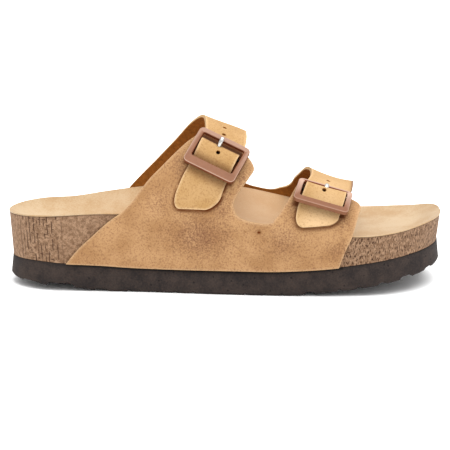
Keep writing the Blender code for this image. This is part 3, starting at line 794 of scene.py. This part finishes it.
under = COVER_EDGE + COVER_GAP
bottom = sole_grid(stations, across, SEAM_INSET, lambda at, _: read(SIDE, "seam", at) + GAP)
rings = []
for share in np.append(np.linspace(0, 1, CORK_STEPS)[:-1], (CORK_SHADE_FROM, 1)):

    def up_the_cork(at, where):
        low = read(SIDE, "seam", at) + GAP
        return low + (bed_height(at, where) - under - low) * share

    drawn = SEAM_INSET + (CORK_DRAWN_IN - SEAM_INSET) * share
    rings.append(sole_grid(stations, across, drawn, up_the_cork))
top = sole_grid(stations, across, CORK_DRAWN_IN, lambda *at: bed_height(*at) - under)
footbed = make_slab("cork_footbed", bottom, rings[1:-1], top, [cork])
# painted shade at the cork's top, where it meets the suede's edge
under_cover = np.zeros(len(footbed.data.vertices))
top_starts = bottom.size // 3
under_cover[top_starts : 2 * top_starts] = CORK_SHADE
paint(footbed, "painted_shade_line", under_cover)
stand_for(footbed, "footbed")

bottom = sole_grid(stations, across, 0.0, lambda *at: bed_height(*at) - COVER_EDGE)
rings = []
for turn in np.linspace(0, math.pi / 2, COVER_STEPS):
    drop = COVER_ROUND * (1 - math.sin(turn))
    drawn = COVER_ROUND * (1 - math.cos(turn))
    rings.append(sole_grid(stations, across, drawn, lambda *at: bed_height(*at) - drop))
top = sole_grid(stations, across, COVER_ROUND, bed_height)
insole = make_slab("suede_insole", bottom, rings[:-1], top, [suede])
# painted warm shade along the middle of the bed, under the straps
off_middle = (places_of(insole)[:, 0] - WARM_SHADE_MIDDLE) / WARM_SHADE_HALF
paint(insole, "pressed", WARM_SHADE_SHARE * np.exp(-(off_middle**2)))
stand_for(insole, "insole")

# %% [markdown]
# ## The last
# Leather is pulled over a wooden last, so its shape is the last's shape. A point on it is found
# from along and around: up the cork wall to the rim, then round a shoulder to the crest. A piece
# of leather is a sheet of such points and the same sheet moved outwards by its thickness.

# %% The last
WALL_SHARE = 0.30
LEATHER = 1.8


def last_point(along, around):
    along, around = np.broadcast_arrays(np.asarray(along, float), np.asarray(around, float))
    middle, half = footprint(along, 0.0)
    outer = around < 0
    rim_y = np.where(outer, middle - half - GAP, middle + half + GAP)
    rim_z = np.where(outer, read(SIDE, "outer_rim", along), read(SIDE, "inner_rim", along))
    seam_y = rim_y + np.where(outer, SEAM_INSET, -SEAM_INSET)
    seam_z = read(SIDE, "seam", along) + GAP
    share = np.abs(around)
    up_wall = np.clip((1 - share) / WALL_SHARE, 0, 1)
    turn = np.clip((1 - WALL_SHARE - share) / (1 - WALL_SHARE), 0, 1) * math.pi / 2
    bend = 2 / np.where(outer, read(CREST, "full", along), 2)
    crest_y = read(CREST, "middle", along)
    over_y = crest_y + (rim_y - crest_y) * np.cos(turn) ** bend
    over_z = rim_z + (read(CREST, "height", along) - rim_z) * np.sin(turn) ** bend
    wall = share > 1 - WALL_SHARE
    y = np.where(wall, seam_y + (rim_y - seam_y) * up_wall, over_y)
    z = np.where(wall, seam_z + (rim_z - seam_z) * up_wall, over_z)
    return np.stack([along, y, z], axis=-1)


def last_outward(along, around):
    """The direction that points straight out of the last."""
    step_along, step_around = 0.25, 0.004
    near = np.clip(around, -1 + step_around, 1 - step_around)
    ahead = last_point(along + step_along, near) - last_point(along - step_along, near)
    over = last_point(along, near + step_around) - last_point(along, near - step_around)
    outward = np.cross(ahead, over)
    return outward / np.linalg.norm(outward, axis=-1, keepdims=True)


def off_last(along, around, rise):
    return last_point(along, around) + last_outward(along, around) * np.asarray(rise)[..., None]


print("crest of the instep strap:", last_point(130, 0.0).round(1))

# %% [markdown]
# ## Cutting the leather
# Each half of the upper is cut as one piece: a panel along the sole, and two fingers that rise from
# it. The tables give the back and front edge of each finger on its way up. The sheets are woven
# from grids that share their edges, and then get a wall between their two faces.

# %% Cutting the leather
CUT_FOOT, CUT_DIP = 0.655, 0.026
PANEL_ROWS, PANEL_COLUMNS = 30, 24
EAR_ROWS, EAR_COLUMNS = 54, (64, 36)
SOFT_EDGE = 0.45
RUBBED_REACH, RUBBED_SHARE = 1.5, 0.75
OUTER_INSTEP = table("""
    around back front
    1.000  36.3 138.0
    0.914  43.3 138.0
    0.828  52.7 138.0
    0.729  64.6 137.8
    0.656  75.9 137.4
    0.605  81.3 135.8
    0.560  86.0 137.4
    0.501  92.7 140.8
    0.420 100.6 145.2
    0.355 106.2 147.6
    0.318 109.2 146.0
    0.285 112.0 143.0
    0.240 115.4 138.5
""")
OUTER_TOE = table("""
    around back front
    1.000 158.6 197.6
    0.833 158.8 201.5
    0.699 159.0 205.1
    0.656 159.2 205.9
    0.581 163.0 207.2
    0.517 165.8 208.2
    0.448 168.6 209.4
    0.380 170.9 210.6
    0.340 172.2 210.2
    0.310 173.4 208.8
    0.280 175.0 206.0
""")


def finger(edges, arounds, columns):
    """A grid between the two edges of an ear or a strap, at the given places around."""
    share = np.linspace(0, 1, columns)
    back = read(edges, "back", arounds)[:, None]
    front = read(edges, "front", arounds)[:, None]
    along = back + (front - back) * share
    return np.stack([along, arounds[:, None] + 0 * along], axis=-1)


def panel(instep, toe):
    """The part of a half between its two fingers: it rises to the foot of the cut-out."""
    share = np.linspace(0, 1, PANEL_COLUMNS)
    foot = CUT_FOOT + CUT_DIP * (1 - np.abs(2 * share - 1) ** 3)
    down = np.linspace(0, 1, PANEL_ROWS)[:, None]
    start = read(instep, "front", 1 + (CUT_FOOT - 1) * down)
    end = read(toe, "back", 1 + (CUT_FOOT - 1) * down)
    return np.stack([start + (end - start) * share, 1 + (foot - 1) * down], axis=-1)


def weave(blocks):
    """One sheet from grids of (along, around) that share their edges: its points and quads."""
    index = {}
    quads = []
    for block in blocks:
        keys = [[tuple(point) for point in row] for row in np.round(block, 5)]
        for row, after in zip(keys, keys[1:]):
            for column in range(len(row) - 1):
                corners = (row[column], row[column + 1], after[column + 1], after[column])
                quads.append([index.setdefault(corner, len(index)) for corner in corners])
    return np.array(list(index)), quads


GRAIN_SIDE, FLESH_SIDE, CUT_EDGE = 0, 1, 2


def make_hide(name, inner, outer, quads, grain_finish):
    """Leather between two sheets, with a softly rounded cut edge: the piece and its rim."""
    count = len(inner)
    faces = quads + [[corner + count for corner in quad] for quad in quads]
    sides = dict.fromkeys((quad[turn - 1], quad[turn]) for quad in quads for turn in range(4))
    rim = [(a, b) for a, b in sides if (b, a) not in sides]
    faces += [[a, b, b + count, a + count] for a, b in rim]
    finish_of = [FLESH_SIDE] * len(quads) + [GRAIN_SIDE] * len(quads) + [CUT_EDGE] * len(rim)
    points = np.concatenate([inner, outer])
    piece = make_piece(name, points, faces, [grain_finish, flesh_side, cut_edge], finish_of)
    soften = piece.modifiers.new("soft_cut_edge", "BEVEL")
    soften.width = SOFT_EDGE * MM
    soften.segments = 3
    soften.limit_method = "ANGLE"
    soften.angle_limit = math.radians(60)
    return piece, sorted({corner for side in rim for corner in side})


def near_rim(points, rim, reach):
    """1 on the points of a rim, falling to 0 at this many millimetres from them."""
    tree = KDTree(len(rim))
    for number, corner in enumerate(rim):
        tree.insert(corner, number)
    tree.balance()
    away = np.array([tree.find(point)[2] for point in points])
    return np.clip(1 - away / reach, 0, 1)


foot_back, foot_front = (float(read(OUTER_INSTEP, side, CUT_FOOT)) for side in ("back", "front"))
print("instep ear beside the cut-out's foot:", round(foot_front - foot_back, 1), "mm wide")

# %% [markdown]
# ## Outer half
# The outer half shows most. Its nubuck is burnished below the instep flap, around the buckles and
# at the front corner, so a table names those places by how far along and how high they are. Soft
# folds are listed in the same way: where the leather bends over the cork's rim, and where the flaps
# press on it.

# %% Outer half
BURNISHED = table("""
    along height wide tall strength
    116 35 23 17 0.95
    129 53  8 15 0.75
     92 55 10 13 0.60
    104 76  6  9 0.80
    141 69  5 10 0.80
    165 33 13 14 0.75
    169 50  6  9 0.60
    200 46  7  9 0.65
    196 29 10  8 0.70
    186 36 26 20 0.30
""")
FOLDS = table("""
    along_from around_from along_to around_to width rise
     80 -0.70 150 -0.70 5.0  0.25
     96 -0.70 128 -0.71 4.0 -0.45
    168 -0.64 200 -0.66 4.0 -0.35
    132 -0.62 124 -0.78 4.5  0.30
    163 -0.60 155 -0.82 5.0 -0.30
    100 -0.48 118 -0.40 5.0 -0.30
""")
MM_AROUND = 110.0
BURNISH_ALL = 0.30


def soft_spots(points, spots):
    """How strong a painted value is at each point, from soft round spots seen from the side."""
    lit_and_worn = np.zeros(len(points))
    for along, height, wide, tall, strength in zip(*spots.values()):
        away = ((points[:, 0] - along) / wide) ** 2 + ((points[:, 2] - height) / tall) ** 2
        lit_and_worn = np.maximum(lit_and_worn, strength * np.exp(-away))
    return lit_and_worn


def fold_rise(along, around, folds):
    """Height of soft troughs and ridges, each along a line on the leather."""
    rise = np.zeros(len(along))
    spot = np.stack([along, around * MM_AROUND], axis=-1)
    for a0, r0, a1, r1, width, height in zip(*folds.values()):
        start, end = np.array([a0, r0 * MM_AROUND]), np.array([a1, r1 * MM_AROUND])
        line = end - start
        share = np.clip((spot - start) @ line / (line @ line), 0, 1)
        away = np.linalg.norm(spot - start - share[:, None] * line, axis=1)
        rise += height * np.exp(-((away / width) ** 2))
    return rise


low = np.linspace(1, CUT_FOOT, PANEL_ROWS)
blocks = [panel(OUTER_INSTEP, OUTER_TOE)]
for edges, columns in zip((OUTER_INSTEP, OUTER_TOE), EAR_COLUMNS):
    high = np.linspace(CUT_FOOT, edges["around"][-1], EAR_ROWS)
    blocks.append(finger(edges, np.concatenate([low, high[1:]]), columns))
sheet, quads = weave(blocks)
along, around = sheet[:, 0], -sheet[:, 1]
folds = fold_rise(along, around, FOLDS)
inner = off_last(along, around, 0 * along)
outer = off_last(along, around, LEATHER + folds)
outer_half, rim = make_hide("leather_outer_half", inner, outer, quads, panel_nubuck)
both = np.concatenate([outer, outer])
paint(outer_half, "burnish", np.maximum(soft_spots(both, BURNISHED), BURNISH_ALL))
paint(outer_half, "rubbed_and_lit", np.tile(RUBBED_SHARE * near_rim(outer, outer[rim], RUBBED_REACH), 2))
stand_for(outer_half, "upper")
outer_face = outer

# %% [markdown]
# ## Straps
# The inner half has the straps. Each lies on the foot over the crest, climbs over the buckle's
# axle, dips under the frame's lower bar and ends in a flap. A path table says how far its inner
# face stands off the foot on the way down. The flap is narrowed to a round tip.

# %% Straps
INNER_INSTEP = table("""
    around back front
     1.000  40.0 141.0
     0.850  54.0 141.0
     0.695  72.1 140.6
     0.655  78.2 140.2
     0.600  86.0 138.6
     0.500  96.7 139.6
     0.300 109.3 142.4
     0.100 116.4 143.2
     0.000 118.1 143.2
    -0.120 118.8 143.2
    -0.240 118.2 141.8
    -0.320 115.2 139.0
    -0.430 110.6 134.6
    -0.530 105.2 130.4
    -0.600 101.6 127.8
    -0.655  98.4 124.9
""")
INNER_TOE = table("""
    around back front
     1.000 161.0 198.0
     0.830 161.2 201.8
     0.700 161.8 205.0
     0.655 163.6 205.6
     0.615 168.7 206.2
     0.475 174.8 207.6
     0.207 180.6 209.4
     0.000 182.9 208.9
    -0.140 181.6 206.6
    -0.240 178.9 203.0
    -0.320 176.9 201.5
    -0.430 174.6 199.5
    -0.530 172.6 197.3
    -0.600 171.8 196.5
    -0.635 171.4 196.1
""")
INSTEP_PATH = table("""
    down rise
     -60  0.0
     -24  0.0
     -18  0.4
     -13  1.3
    -9.0  1.8
    -7.4  2.5
    -5.6  4.5
    -4.4 5.25
    -3.2  5.2
     2.0  4.1
     7.5  2.2
      13  2.2
      22  2.1
      60  2.1
""")
TOE_PATH = table("""
    down rise
      -60  0.0
      -24  0.0
      -18  0.1
      -13  0.4
    -10.4  0.7
     -9.2 1.15
     -8.0  2.5
     -6.4  5.4
     -5.2  7.3
     -4.3  7.9
     -3.2  7.6
      2.0  5.3
      7.5  3.4
       13  2.7
       22  2.1
       60  2.1
""")
Strap = namedtuple("Strap", "name along around lean tilt prong skew edges path")
INSTEP = Strap("instep", 125.4, -0.374, 47.0, 0.00, -1.6, 0.0006, INNER_INSTEP, INSTEP_PATH)
TOE = Strap("toe", 187.2, -0.402, 19.0, 0.17, 0.4, 0.0026, INNER_TOE, TOE_PATH)
STRAPS = INSTEP, TOE
THROAT_ALONG = 150.0
BUCKLE_START, BUCKLE_END, TIP_SHARE = -0.14, -0.54, 0.08
FLAP_ROUND, FLAP_END, FLAP_SHARE = 8.0, 0.52, 0.12
STRAP_BURNISH = (0.3, 0.12)
# painted light that brightens the toe strap's flap, which stands steeper and gets less light
PAINTED_LIGHT = table("""
    along height wide tall strength
    184 44 15 8 0.9
    192 58 14 8 0.4
""")
PAINTED_LIGHT_TO, PAINTED_LIGHT_FADE = 0.25, 0.45
STRAP_COLUMNS = 32
CREST_ROWS, BUCKLE_ROWS, TIP_ROWS = 60, 70, 20


class Seat:
    """Where a buckle sits on the last: its centre and the directions across, down and outward."""

    def __init__(self, strap):
        step = 0.01
        self.centre = last_point(strap.along, strap.around)
        below = last_point(strap.along - strap.lean * step, strap.around - step)
        above = last_point(strap.along + strap.lean * step, strap.around + step)
        outward = last_outward(np.array(strap.along), np.array(strap.around))
        down = below - above
        down = down - outward * (down @ outward)
        down = down / np.linalg.norm(down)
        self.axes = np.array([np.cross(outward, down), down, outward])

    def local(self, points):
        return (points - self.centre) @ self.axes.T

    def on_shoe(self, points):
        return self.centre + np.asarray(points, float) @ self.axes


def strap_rise(strap, seat, along, around):
    """The rise of a strap's inner face. Past the crest it lies on the foot."""
    down = seat.local(last_point(along, around))[..., 1]
    return np.where(around < 0, read(strap.path, "rise", down), 0)


def round_tip(block, arounds, skew):
    """Narrows a strap towards its end, so that the flap has a round tip, and skews that end."""
    left = np.clip((arounds - arounds[-1]) * MM_AROUND / FLAP_ROUND, 0, 1)
    narrow = FLAP_END + (1 - FLAP_END) * np.sqrt(1 - (1 - left) ** 2)
    middle = block[:, :, 0].mean(axis=1, keepdims=True)
    block[:, :, 0] = middle + (block[:, :, 0] - middle) * narrow[:, None]
    flap = np.clip(1 - (arounds - arounds[-1]) / FLAP_SHARE, 0, 1)
    block[:, :, 1] += skew * flap[:, None] * (block[:, :, 0] - middle)
    return block


def strap_places(end):
    """Places around for the rows of a strap: closest through the buckle and at the tip."""
    crest = np.linspace(CUT_FOOT, BUCKLE_START, CREST_ROWS)
    buckle = np.linspace(BUCKLE_START, BUCKLE_END, BUCKLE_ROWS)
    turns = np.linspace(0, 1, TIP_ROWS) * math.pi / 2
    tip = end + TIP_SHARE * (1 - np.sin(turns))
    return np.concatenate([crest, buckle[1:], tip])


seats = {strap.name: Seat(strap) for strap in STRAPS}
blocks = [panel(INNER_INSTEP, INNER_TOE)]
for strap in STRAPS:
    high = strap_places(strap.edges["around"][-1])
    blocks.append(finger(strap.edges, low, STRAP_COLUMNS))
    blocks.append(round_tip(finger(strap.edges, high, STRAP_COLUMNS), high, strap.skew))
sheet, quads = weave(blocks)
along, around = sheet[:, 0], sheet[:, 1]
rises = [strap_rise(strap, seats[strap.name], along, around) for strap in STRAPS]
rise = np.where(along < THROAT_ALONG, *rises)
inner = off_last(along, around, rise)
outer = off_last(along, around, rise + LEATHER)
inner_half, rim = make_hide("leather_inner_half", inner, outer, quads, strap_nubuck)
paint(inner_half, "burnish", np.tile(np.where(along < THROAT_ALONG, *STRAP_BURNISH), 2))
rubbed_and_lit = RUBBED_SHARE * near_rim(outer, outer[rim], RUBBED_REACH)
# painted light on the toe strap's flap, fading out towards the crest
pale = soft_spots(outer, PAINTED_LIGHT) * smooth((PAINTED_LIGHT_TO - around) / PAINTED_LIGHT_FADE)
paint(inner_half, "rubbed_and_lit", np.tile(np.maximum(rubbed_and_lit, pale), 2))
stand_for(inner_half, "upper")

# %% [markdown]
# ## Painted shade
# Painted shade darkens the leather where little light reaches: on the ears inside the buckles,
# where a strap climbs to its axle, close under each frame, in a line below each flap, and on the
# toe strap's front edge. The first three are boxes on the seats of the buckles, and the others are
# how near a rim is. The same painted value also holds two small dark spots on the outer half.

# %% Painted shade
# The buckle (0 instep, 1 toe) and the half (0 outer, 1 inner), then on the seat in mm the half
# width, top and bottom of a box of painted shade, how soft its edges are, and how dark it is.
SHADED_BOXES = table("""
    buckle half across top bottom soft strength
    0 0 16.0 -12.0 11.8 2.2 0.95
    0 1 15.0 -12.4 -6.6 1.4 0.90
    0 1 18.0   3.2 16.0 5.0 0.48
    0 1 15.0   7.6 11.4 1.4 0.80
    1 0 16.0 -12.0  9.2 2.6 0.95
    1 1 15.0 -12.4 -6.9 1.4 0.90
    1 1 15.0   5.0  8.8 1.2 0.80
""")
SEAT_REACH = 14.0
STRAP_END, STRAP_END_HALF, STRAP_END_FADE, STRAP_END_REACH = 203.0, 0.22, 0.14, 1.9
DOTS = table("""
    along height wide tall strength
    150.7 38.5 1.1 0.9 1.5
    142.5 38.5 0.7 0.7 0.6
""")
FLAP_FROM, FLAP_DROP, FLAP_REACH, FLAP_STRENGTH = -0.44, 0.7, 2.7, 1.4


def painted_shade_on(points, half):
    """How much painted shade the points of one half of the upper get around both buckles."""
    painted_shade_and_spots = np.zeros(len(points))
    for buckle, which, across, top, bottom, soft, strength in zip(*SHADED_BOXES.values()):
        x, y, z = seats[("instep", "toe")[int(buckle)]].local(points).T
        inside = np.minimum(np.minimum(y - top, bottom - y), across - np.abs(x))
        box = strength * (np.abs(z) < SEAT_REACH) * smooth(inside / soft + 0.5)
        painted_shade_and_spots = np.maximum(painted_shade_and_spots, box * (which == half))
    return painted_shade_and_spots


flap_rim = [corner for corner in rim if around[corner] < FLAP_FROM]
crest_rim = [
    corner for corner in rim if along[corner] > STRAP_END and abs(around[corner]) < STRAP_END_HALF
]
# painted shade on the toe strap's front edge
strap_end = near_rim(outer, outer[crest_rim], STRAP_END_REACH)
strap_end *= smooth((STRAP_END_HALF - np.abs(around)) / STRAP_END_FADE)
# painted shade: a dark line just below each flap
line = near_rim(outer_face, inner[flap_rim] - (0, 0, FLAP_DROP), FLAP_REACH) ** 2
line = np.minimum(FLAP_STRENGTH * line, 1)
# two small dark spots on the outer half
line = np.maximum(line, soft_spots(outer_face, DOTS))
paint(outer_half, "painted_shade_and_spots", np.tile(np.maximum(line, painted_shade_on(outer_face, 0)), 2))
paint(inner_half, "painted_shade_and_spots", np.tile(np.maximum(strap_end, painted_shade_on(outer, 1)), 2))
print("points beside a flap:", int((line > 0).sum()))

# %% [markdown]
# ## Buckles
# A frame is a flat ring with soft edges. Its section is a short list of steps, swept round a
# rectangle with round corners. The frame is set just high enough to clear the strap, and the axle
# just low enough to run under it, so that the strap looks gripped.

# %% Buckles
FRAME_ACROSS, FRAME_DOWN, FRAME_THICK = 33.0, 25.5, 2.9
FRAME_CORNER, WINDOW_CORNER = 2.9, 1.2
FRAME_EDGE, FACE_STEP = 0.55, 0.45
SIDE_BAR, TOP_BAR, LOWER_BAR = 3.2, 3.0, 5.4
AXLE_DOWN, AXLE_RADIUS, AXLE_SEAT = -4.2, 0.9, 2.0
EDGE_STEPS, CORNER_STEPS, LEAST_CORNER = 4, 9, 0.2
FIT_ROWS, FIT_COLUMNS = 160, 9
LINE_DEPTH, LINE_HALF, BAR_MARGIN = 0.4, 0.25, 0.3
FRAME_SHADE_AND_HIGHLIGHT = {
    # how dark the painted shade on the top bar behind its strap is, how pale the painted highlight
    # on that bar is and on the side bars' upper ends, how dark the painted shade on the outer walls
    # is and how dark the rest of the face, and how pale the painted highlight along the lower edge
    # is
    "instep": (0.0, 0.26, 0.0, 0.7, 0.0, 0.95),
    "toe": (1.0, 0.0, 0.6, 0.15, 0.12, 0.45),
}


class Fit:
    """Heights over a seat at which a frame clears its strap and an axle runs under it."""

    def __init__(self, strap, seat):
        arounds = np.linspace(BUCKLE_START, BUCKLE_END - TIP_SHARE, FIT_ROWS)
        sheet = finger(strap.edges, arounds, FIT_COLUMNS).reshape(-1, 2)
        along, around = sheet[:, 0], sheet[:, 1]
        rise = strap_rise(strap, seat, along, around)
        top = seat.local(off_last(along, around, rise + LEATHER))
        under = seat.local(off_last(along, around, rise))
        half = FRAME_DOWN / 2
        bars = (np.abs(top[:, 1]) < half) & (
            (top[:, 1] < TOP_BAR - half) | (top[:, 1] > half - LOWER_BAR)
        )
        self.floor = (top[bars, 2] - strap.tilt * top[bars, 1]).max() + GAP
        near = np.abs(under[:, 1] - AXLE_DOWN) < AXLE_RADIUS
        low_bars = self.floor + strap.tilt * AXLE_DOWN
        self.axle = min(under[near, 2].min() - GAP - AXLE_RADIUS, low_bars)
        self.tilt = strap.tilt
        self.rest = self.floor + FRAME_THICK + self.tilt * (TOP_BAR - half) + GAP + AXLE_RADIUS


def rounded_box(across, top, bottom, corner):
    """Points round a rectangle with round corners, on the frame's plane."""
    points = []
    for side, end, turn in ((1, bottom, 0), (-1, bottom, 1), (-1, top, 2), (1, top, 3)):
        centre_x = side * (across - corner)
        centre_y = end + (corner if end == top else -corner)
        for angle in np.linspace(turn, turn + 1, CORNER_STEPS) * math.pi / 2:
            x, y = math.cos(angle), math.sin(angle)
            points.append((centre_x + corner * x, centre_y + corner * y))
    return np.array(points)


def ring_faces(rings, count):
    """Quads between rings of points that follow one another and close into a loop."""
    faces = []
    for low in range(rings):
        high = (low + 1) % rings
        for at in range(count):
            after = (at + 1) % count
            corners = (low, at), (low, after), (high, after), (high, at)
            faces.append([ring * count + spot for ring, spot in corners])
    return faces


half = FRAME_DOWN / 2
OUTSIDE = (FRAME_ACROSS / 2, -half, half)
WINDOW = (FRAME_ACROSS / 2 - SIDE_BAR, TOP_BAR - half, half - LOWER_BAR)
section = []
for face, side, quarters in ((OUTSIDE, 1, (3, 0)), (WINDOW, -1, (1, 2))):
    for quarter in quarters:
        for step in range(EDGE_STEPS + 1):
            turn = (quarter + step / EDGE_STEPS) * math.pi / 2
            drawn = FRAME_EDGE * (1 - abs(math.cos(turn)))
            upper = math.sin(turn) > 0 or quarter in (0, 1)
            middle = FRAME_THICK - FRAME_EDGE if upper else FRAME_EDGE
            section.append((face, side, drawn, middle + FRAME_EDGE * math.sin(turn)))
    inside_edge = (face, side, FRAME_EDGE + FACE_STEP, FRAME_THICK)
    section.insert(len(section) if side > 0 else -2 * (EDGE_STEPS + 1), inside_edge)

fits = {}
for strap in STRAPS:
    fit = fits[strap.name] = Fit(strap, seats[strap.name])
    loops = []
    for (reach, top, bottom), side, drawn, height in section:
        corner = FRAME_CORNER if side > 0 else WINDOW_CORNER
        corner = max(corner - side * drawn, LEAST_CORNER)
        flat = rounded_box(reach - side * drawn, top + side * drawn, bottom - side * drawn, corner)
        over = fit.floor + fit.tilt * flat[:, 1] + height
        loops.append(np.column_stack([flat, over]))
    points = seats[strap.name].on_shoe(np.concatenate(loops))
    faces = ring_faces(len(loops), len(loops[0]))
    ring = make_piece(strap.name + "_buckle_ring", points, faces, [resin])
    ring.modifiers.new("flat_faces_stay_flat", "WEIGHTED_NORMAL")
    x, y, _ = np.concatenate(loops).T
    count = len(loops[0])
    outside = np.repeat([side > 0 for _, side, _, _ in section], count)
    depth = np.repeat([(FRAME_THICK - height) / FRAME_EDGE for *_, height in section], count)
    on_top, behind = depth < 0.5, y < TOP_BAR - half
    shade_behind, pale, side_highlight, outer_wall, face_dark, edge = FRAME_SHADE_AND_HIGHLIGHT[strap.name]
    # painted shade: dark walls, the toe's top bar behind its strap, and the toe's face a little
    # darker
    walls = np.where(outside, outer_wall * np.clip(depth, 0, 1), np.clip(depth, 0, 1) ** 0.5)
    paint(ring, "wall", np.maximum(np.maximum(walls, face_dark), shade_behind * behind))
    # painted highlight: a pale line along the outer edges, stronger on the lower edge
    bevel = np.repeat([drawn <= FRAME_EDGE for *_, drawn, _ in section], count)
    line = outside * bevel * np.exp(-(((depth - LINE_DEPTH) / LINE_HALF) ** 2))
    line *= np.where(y > 0, edge, edge / 2) * (1 - shade_behind * behind)
    # painted highlight on the instep's top bar and on the toe's side bars' upper ends
    bars = (np.abs(x) > WINDOW[0] - BAR_MARGIN) * smooth((half / 2 - y) / half)
    paint(ring, "lit_and_worn", np.maximum(line, on_top * np.maximum(pale * behind, side_highlight * bars)))
    stand_for(ring, strap.name + "_buckle_frame")

# %% [markdown]
# ## Pins and holes
# Each pin is steel wire: an axle across the frame, and a prong that comes up through the strap and
# rests on the top bar. The strap has a few punched holes in a row. They are real holes, cut with
# short round cutters that are thrown away afterwards.

# %% Pins and holes
PRONG_PATH = table("""
    down share
     -4.2  0.0
     -5.2 0.26
     -6.3 0.56
     -7.3 0.84
     -8.3 0.98
     -9.3  1.0
    -10.4  1.0
""")
PIN_SIDES = 20
DOME_ACROSS, DOME_BACK = np.array([(0.95, 0.75, 0.4, 0.0), (1.0, 0.85, 0.5, 0.0)])
DOME_HEIGHT = 0.7
POLISHED, SHADE_DARK = 0, 1
HOLE_RADIUS, PUNCH_PAST, PUNCH_STEPS = 1.25, 2, 4
PRONG_SLACK, PRONG_WIDE = 0.3, 1.35
SLOT_FROM, SLOT_TO = 1, 5
HOLES = table("""
    along around
    130.1 -0.095
    129.6 -0.186
    126.0 -0.360
    192.7 -0.094
    187.2 -0.375
""")


def wire(route, radius, level, wide=1.0):
    """Points and faces of a bar along a route, with domed ends. wide flattens its section."""
    route = np.asarray(route, float)
    ahead = np.gradient(route, axis=0)
    ahead /= np.linalg.norm(ahead, axis=1, keepdims=True)
    dome = np.sqrt(1 - DOME_ACROSS**2)
    back = DOME_BACK * DOME_HEIGHT * radius
    start = [route[0] - ahead[0] * step for step in back]
    end = [route[-1] + ahead[-1] * step for step in back[::-1]]
    spine = np.concatenate([start, route[1:-1], end])
    thick = np.concatenate([dome, np.ones(len(route) - 2), dome[::-1]]) * radius
    heading = [[ahead[0]] * len(dome), ahead[1:-1], [ahead[-1]] * len(dome)]
    heading = np.concatenate(heading)
    other = np.cross(heading, level)
    turns = np.linspace(0, 2 * math.pi, PIN_SIDES, endpoint=False)[:, None, None]
    circle = np.cos(turns) * wide * np.asarray(level, float) + np.sin(turns) * other
    points = (spine + thick[:, None] * circle).transpose(1, 0, 2).reshape(-1, 3)
    faces = ring_faces(len(spine), PIN_SIDES)[: -PIN_SIDES]
    last = (len(spine) - 1) * PIN_SIDES
    faces += [list(range(PIN_SIDES))[::-1], list(range(last, last + PIN_SIDES))]
    return points, faces


cutters = []
for strap in STRAPS:
    seat, fit = seats[strap.name], fits[strap.name]
    reach = FRAME_ACROSS / 2 - SIDE_BAR + AXLE_SEAT
    axle = np.linspace((-reach, AXLE_DOWN, fit.axle), (reach, AXLE_DOWN, fit.axle), num=4)
    down, share = PRONG_PATH["down"], PRONG_PATH["share"]
    climb = fit.axle + share * (fit.rest - fit.axle)
    prong = np.column_stack([strap.prong + 0 * down, down, climb])
    points, faces = wire(axle, AXLE_RADIUS, (0, 0, 1))
    more, more_faces = wire(prong, AXLE_RADIUS, (1, 0, 0), PRONG_WIDE)
    faces = faces + [[corner + len(points) for corner in face] for face in more_faces]
    points = np.concatenate([points, more])
    finish_of = [SHADE_DARK] * (len(faces) - len(more_faces)) + [POLISHED] * len(more_faces)
    wires = [steel, shade_dark_steel]
    pin = make_piece(strap.name + "_buckle_wire", seat.on_shoe(points), faces, wires, finish_of)
    stand_for(pin, strap.name + "_buckle_pin")
    in_strap = prong[SLOT_FROM:SLOT_TO]
    slot, slot_faces = wire(in_strap, AXLE_RADIUS + PRONG_SLACK, (1, 0, 0), PRONG_WIDE)
    cutters.append(make_piece(strap.name + "_slot", seat.on_shoe(slot), slot_faces, [cut_edge]))

for number, spot in enumerate(zip(*HOLES.values())):
    at_along, at_around = (np.full(PUNCH_STEPS, value) for value in spot)
    strap = INSTEP if spot[0] < THROAT_ALONG else TOE
    base = strap_rise(strap, seats[strap.name], at_along, at_around)
    depth = base + np.linspace(-PUNCH_PAST, LEATHER + PUNCH_PAST, PUNCH_STEPS)
    middle = off_last(at_along, at_around, depth)
    level = np.cross(middle[1] - middle[0], (0, 0, 1.0))
    points, faces = wire(middle, HOLE_RADIUS, level / np.linalg.norm(level))
    cutters.append(make_piece("punch_%d" % number, points, faces, [flesh_side]))

for cutter in cutters:
    punch = inner_half.modifiers.new(cutter.name, "BOOLEAN")
    punch.object = cutter
    punch.solver = "EXACT"
ready = bpy.context.evaluated_depsgraph_get()
punched = bpy.data.meshes.new_from_object(inner_half.evaluated_get(ready))
inner_half.modifiers.clear()
inner_half.data = punched
for cutter in cutters:
    bpy.data.objects.remove(cutter)
print("holes punched:", len(cutters), "faces in the inner half:", len(punched.polygons))
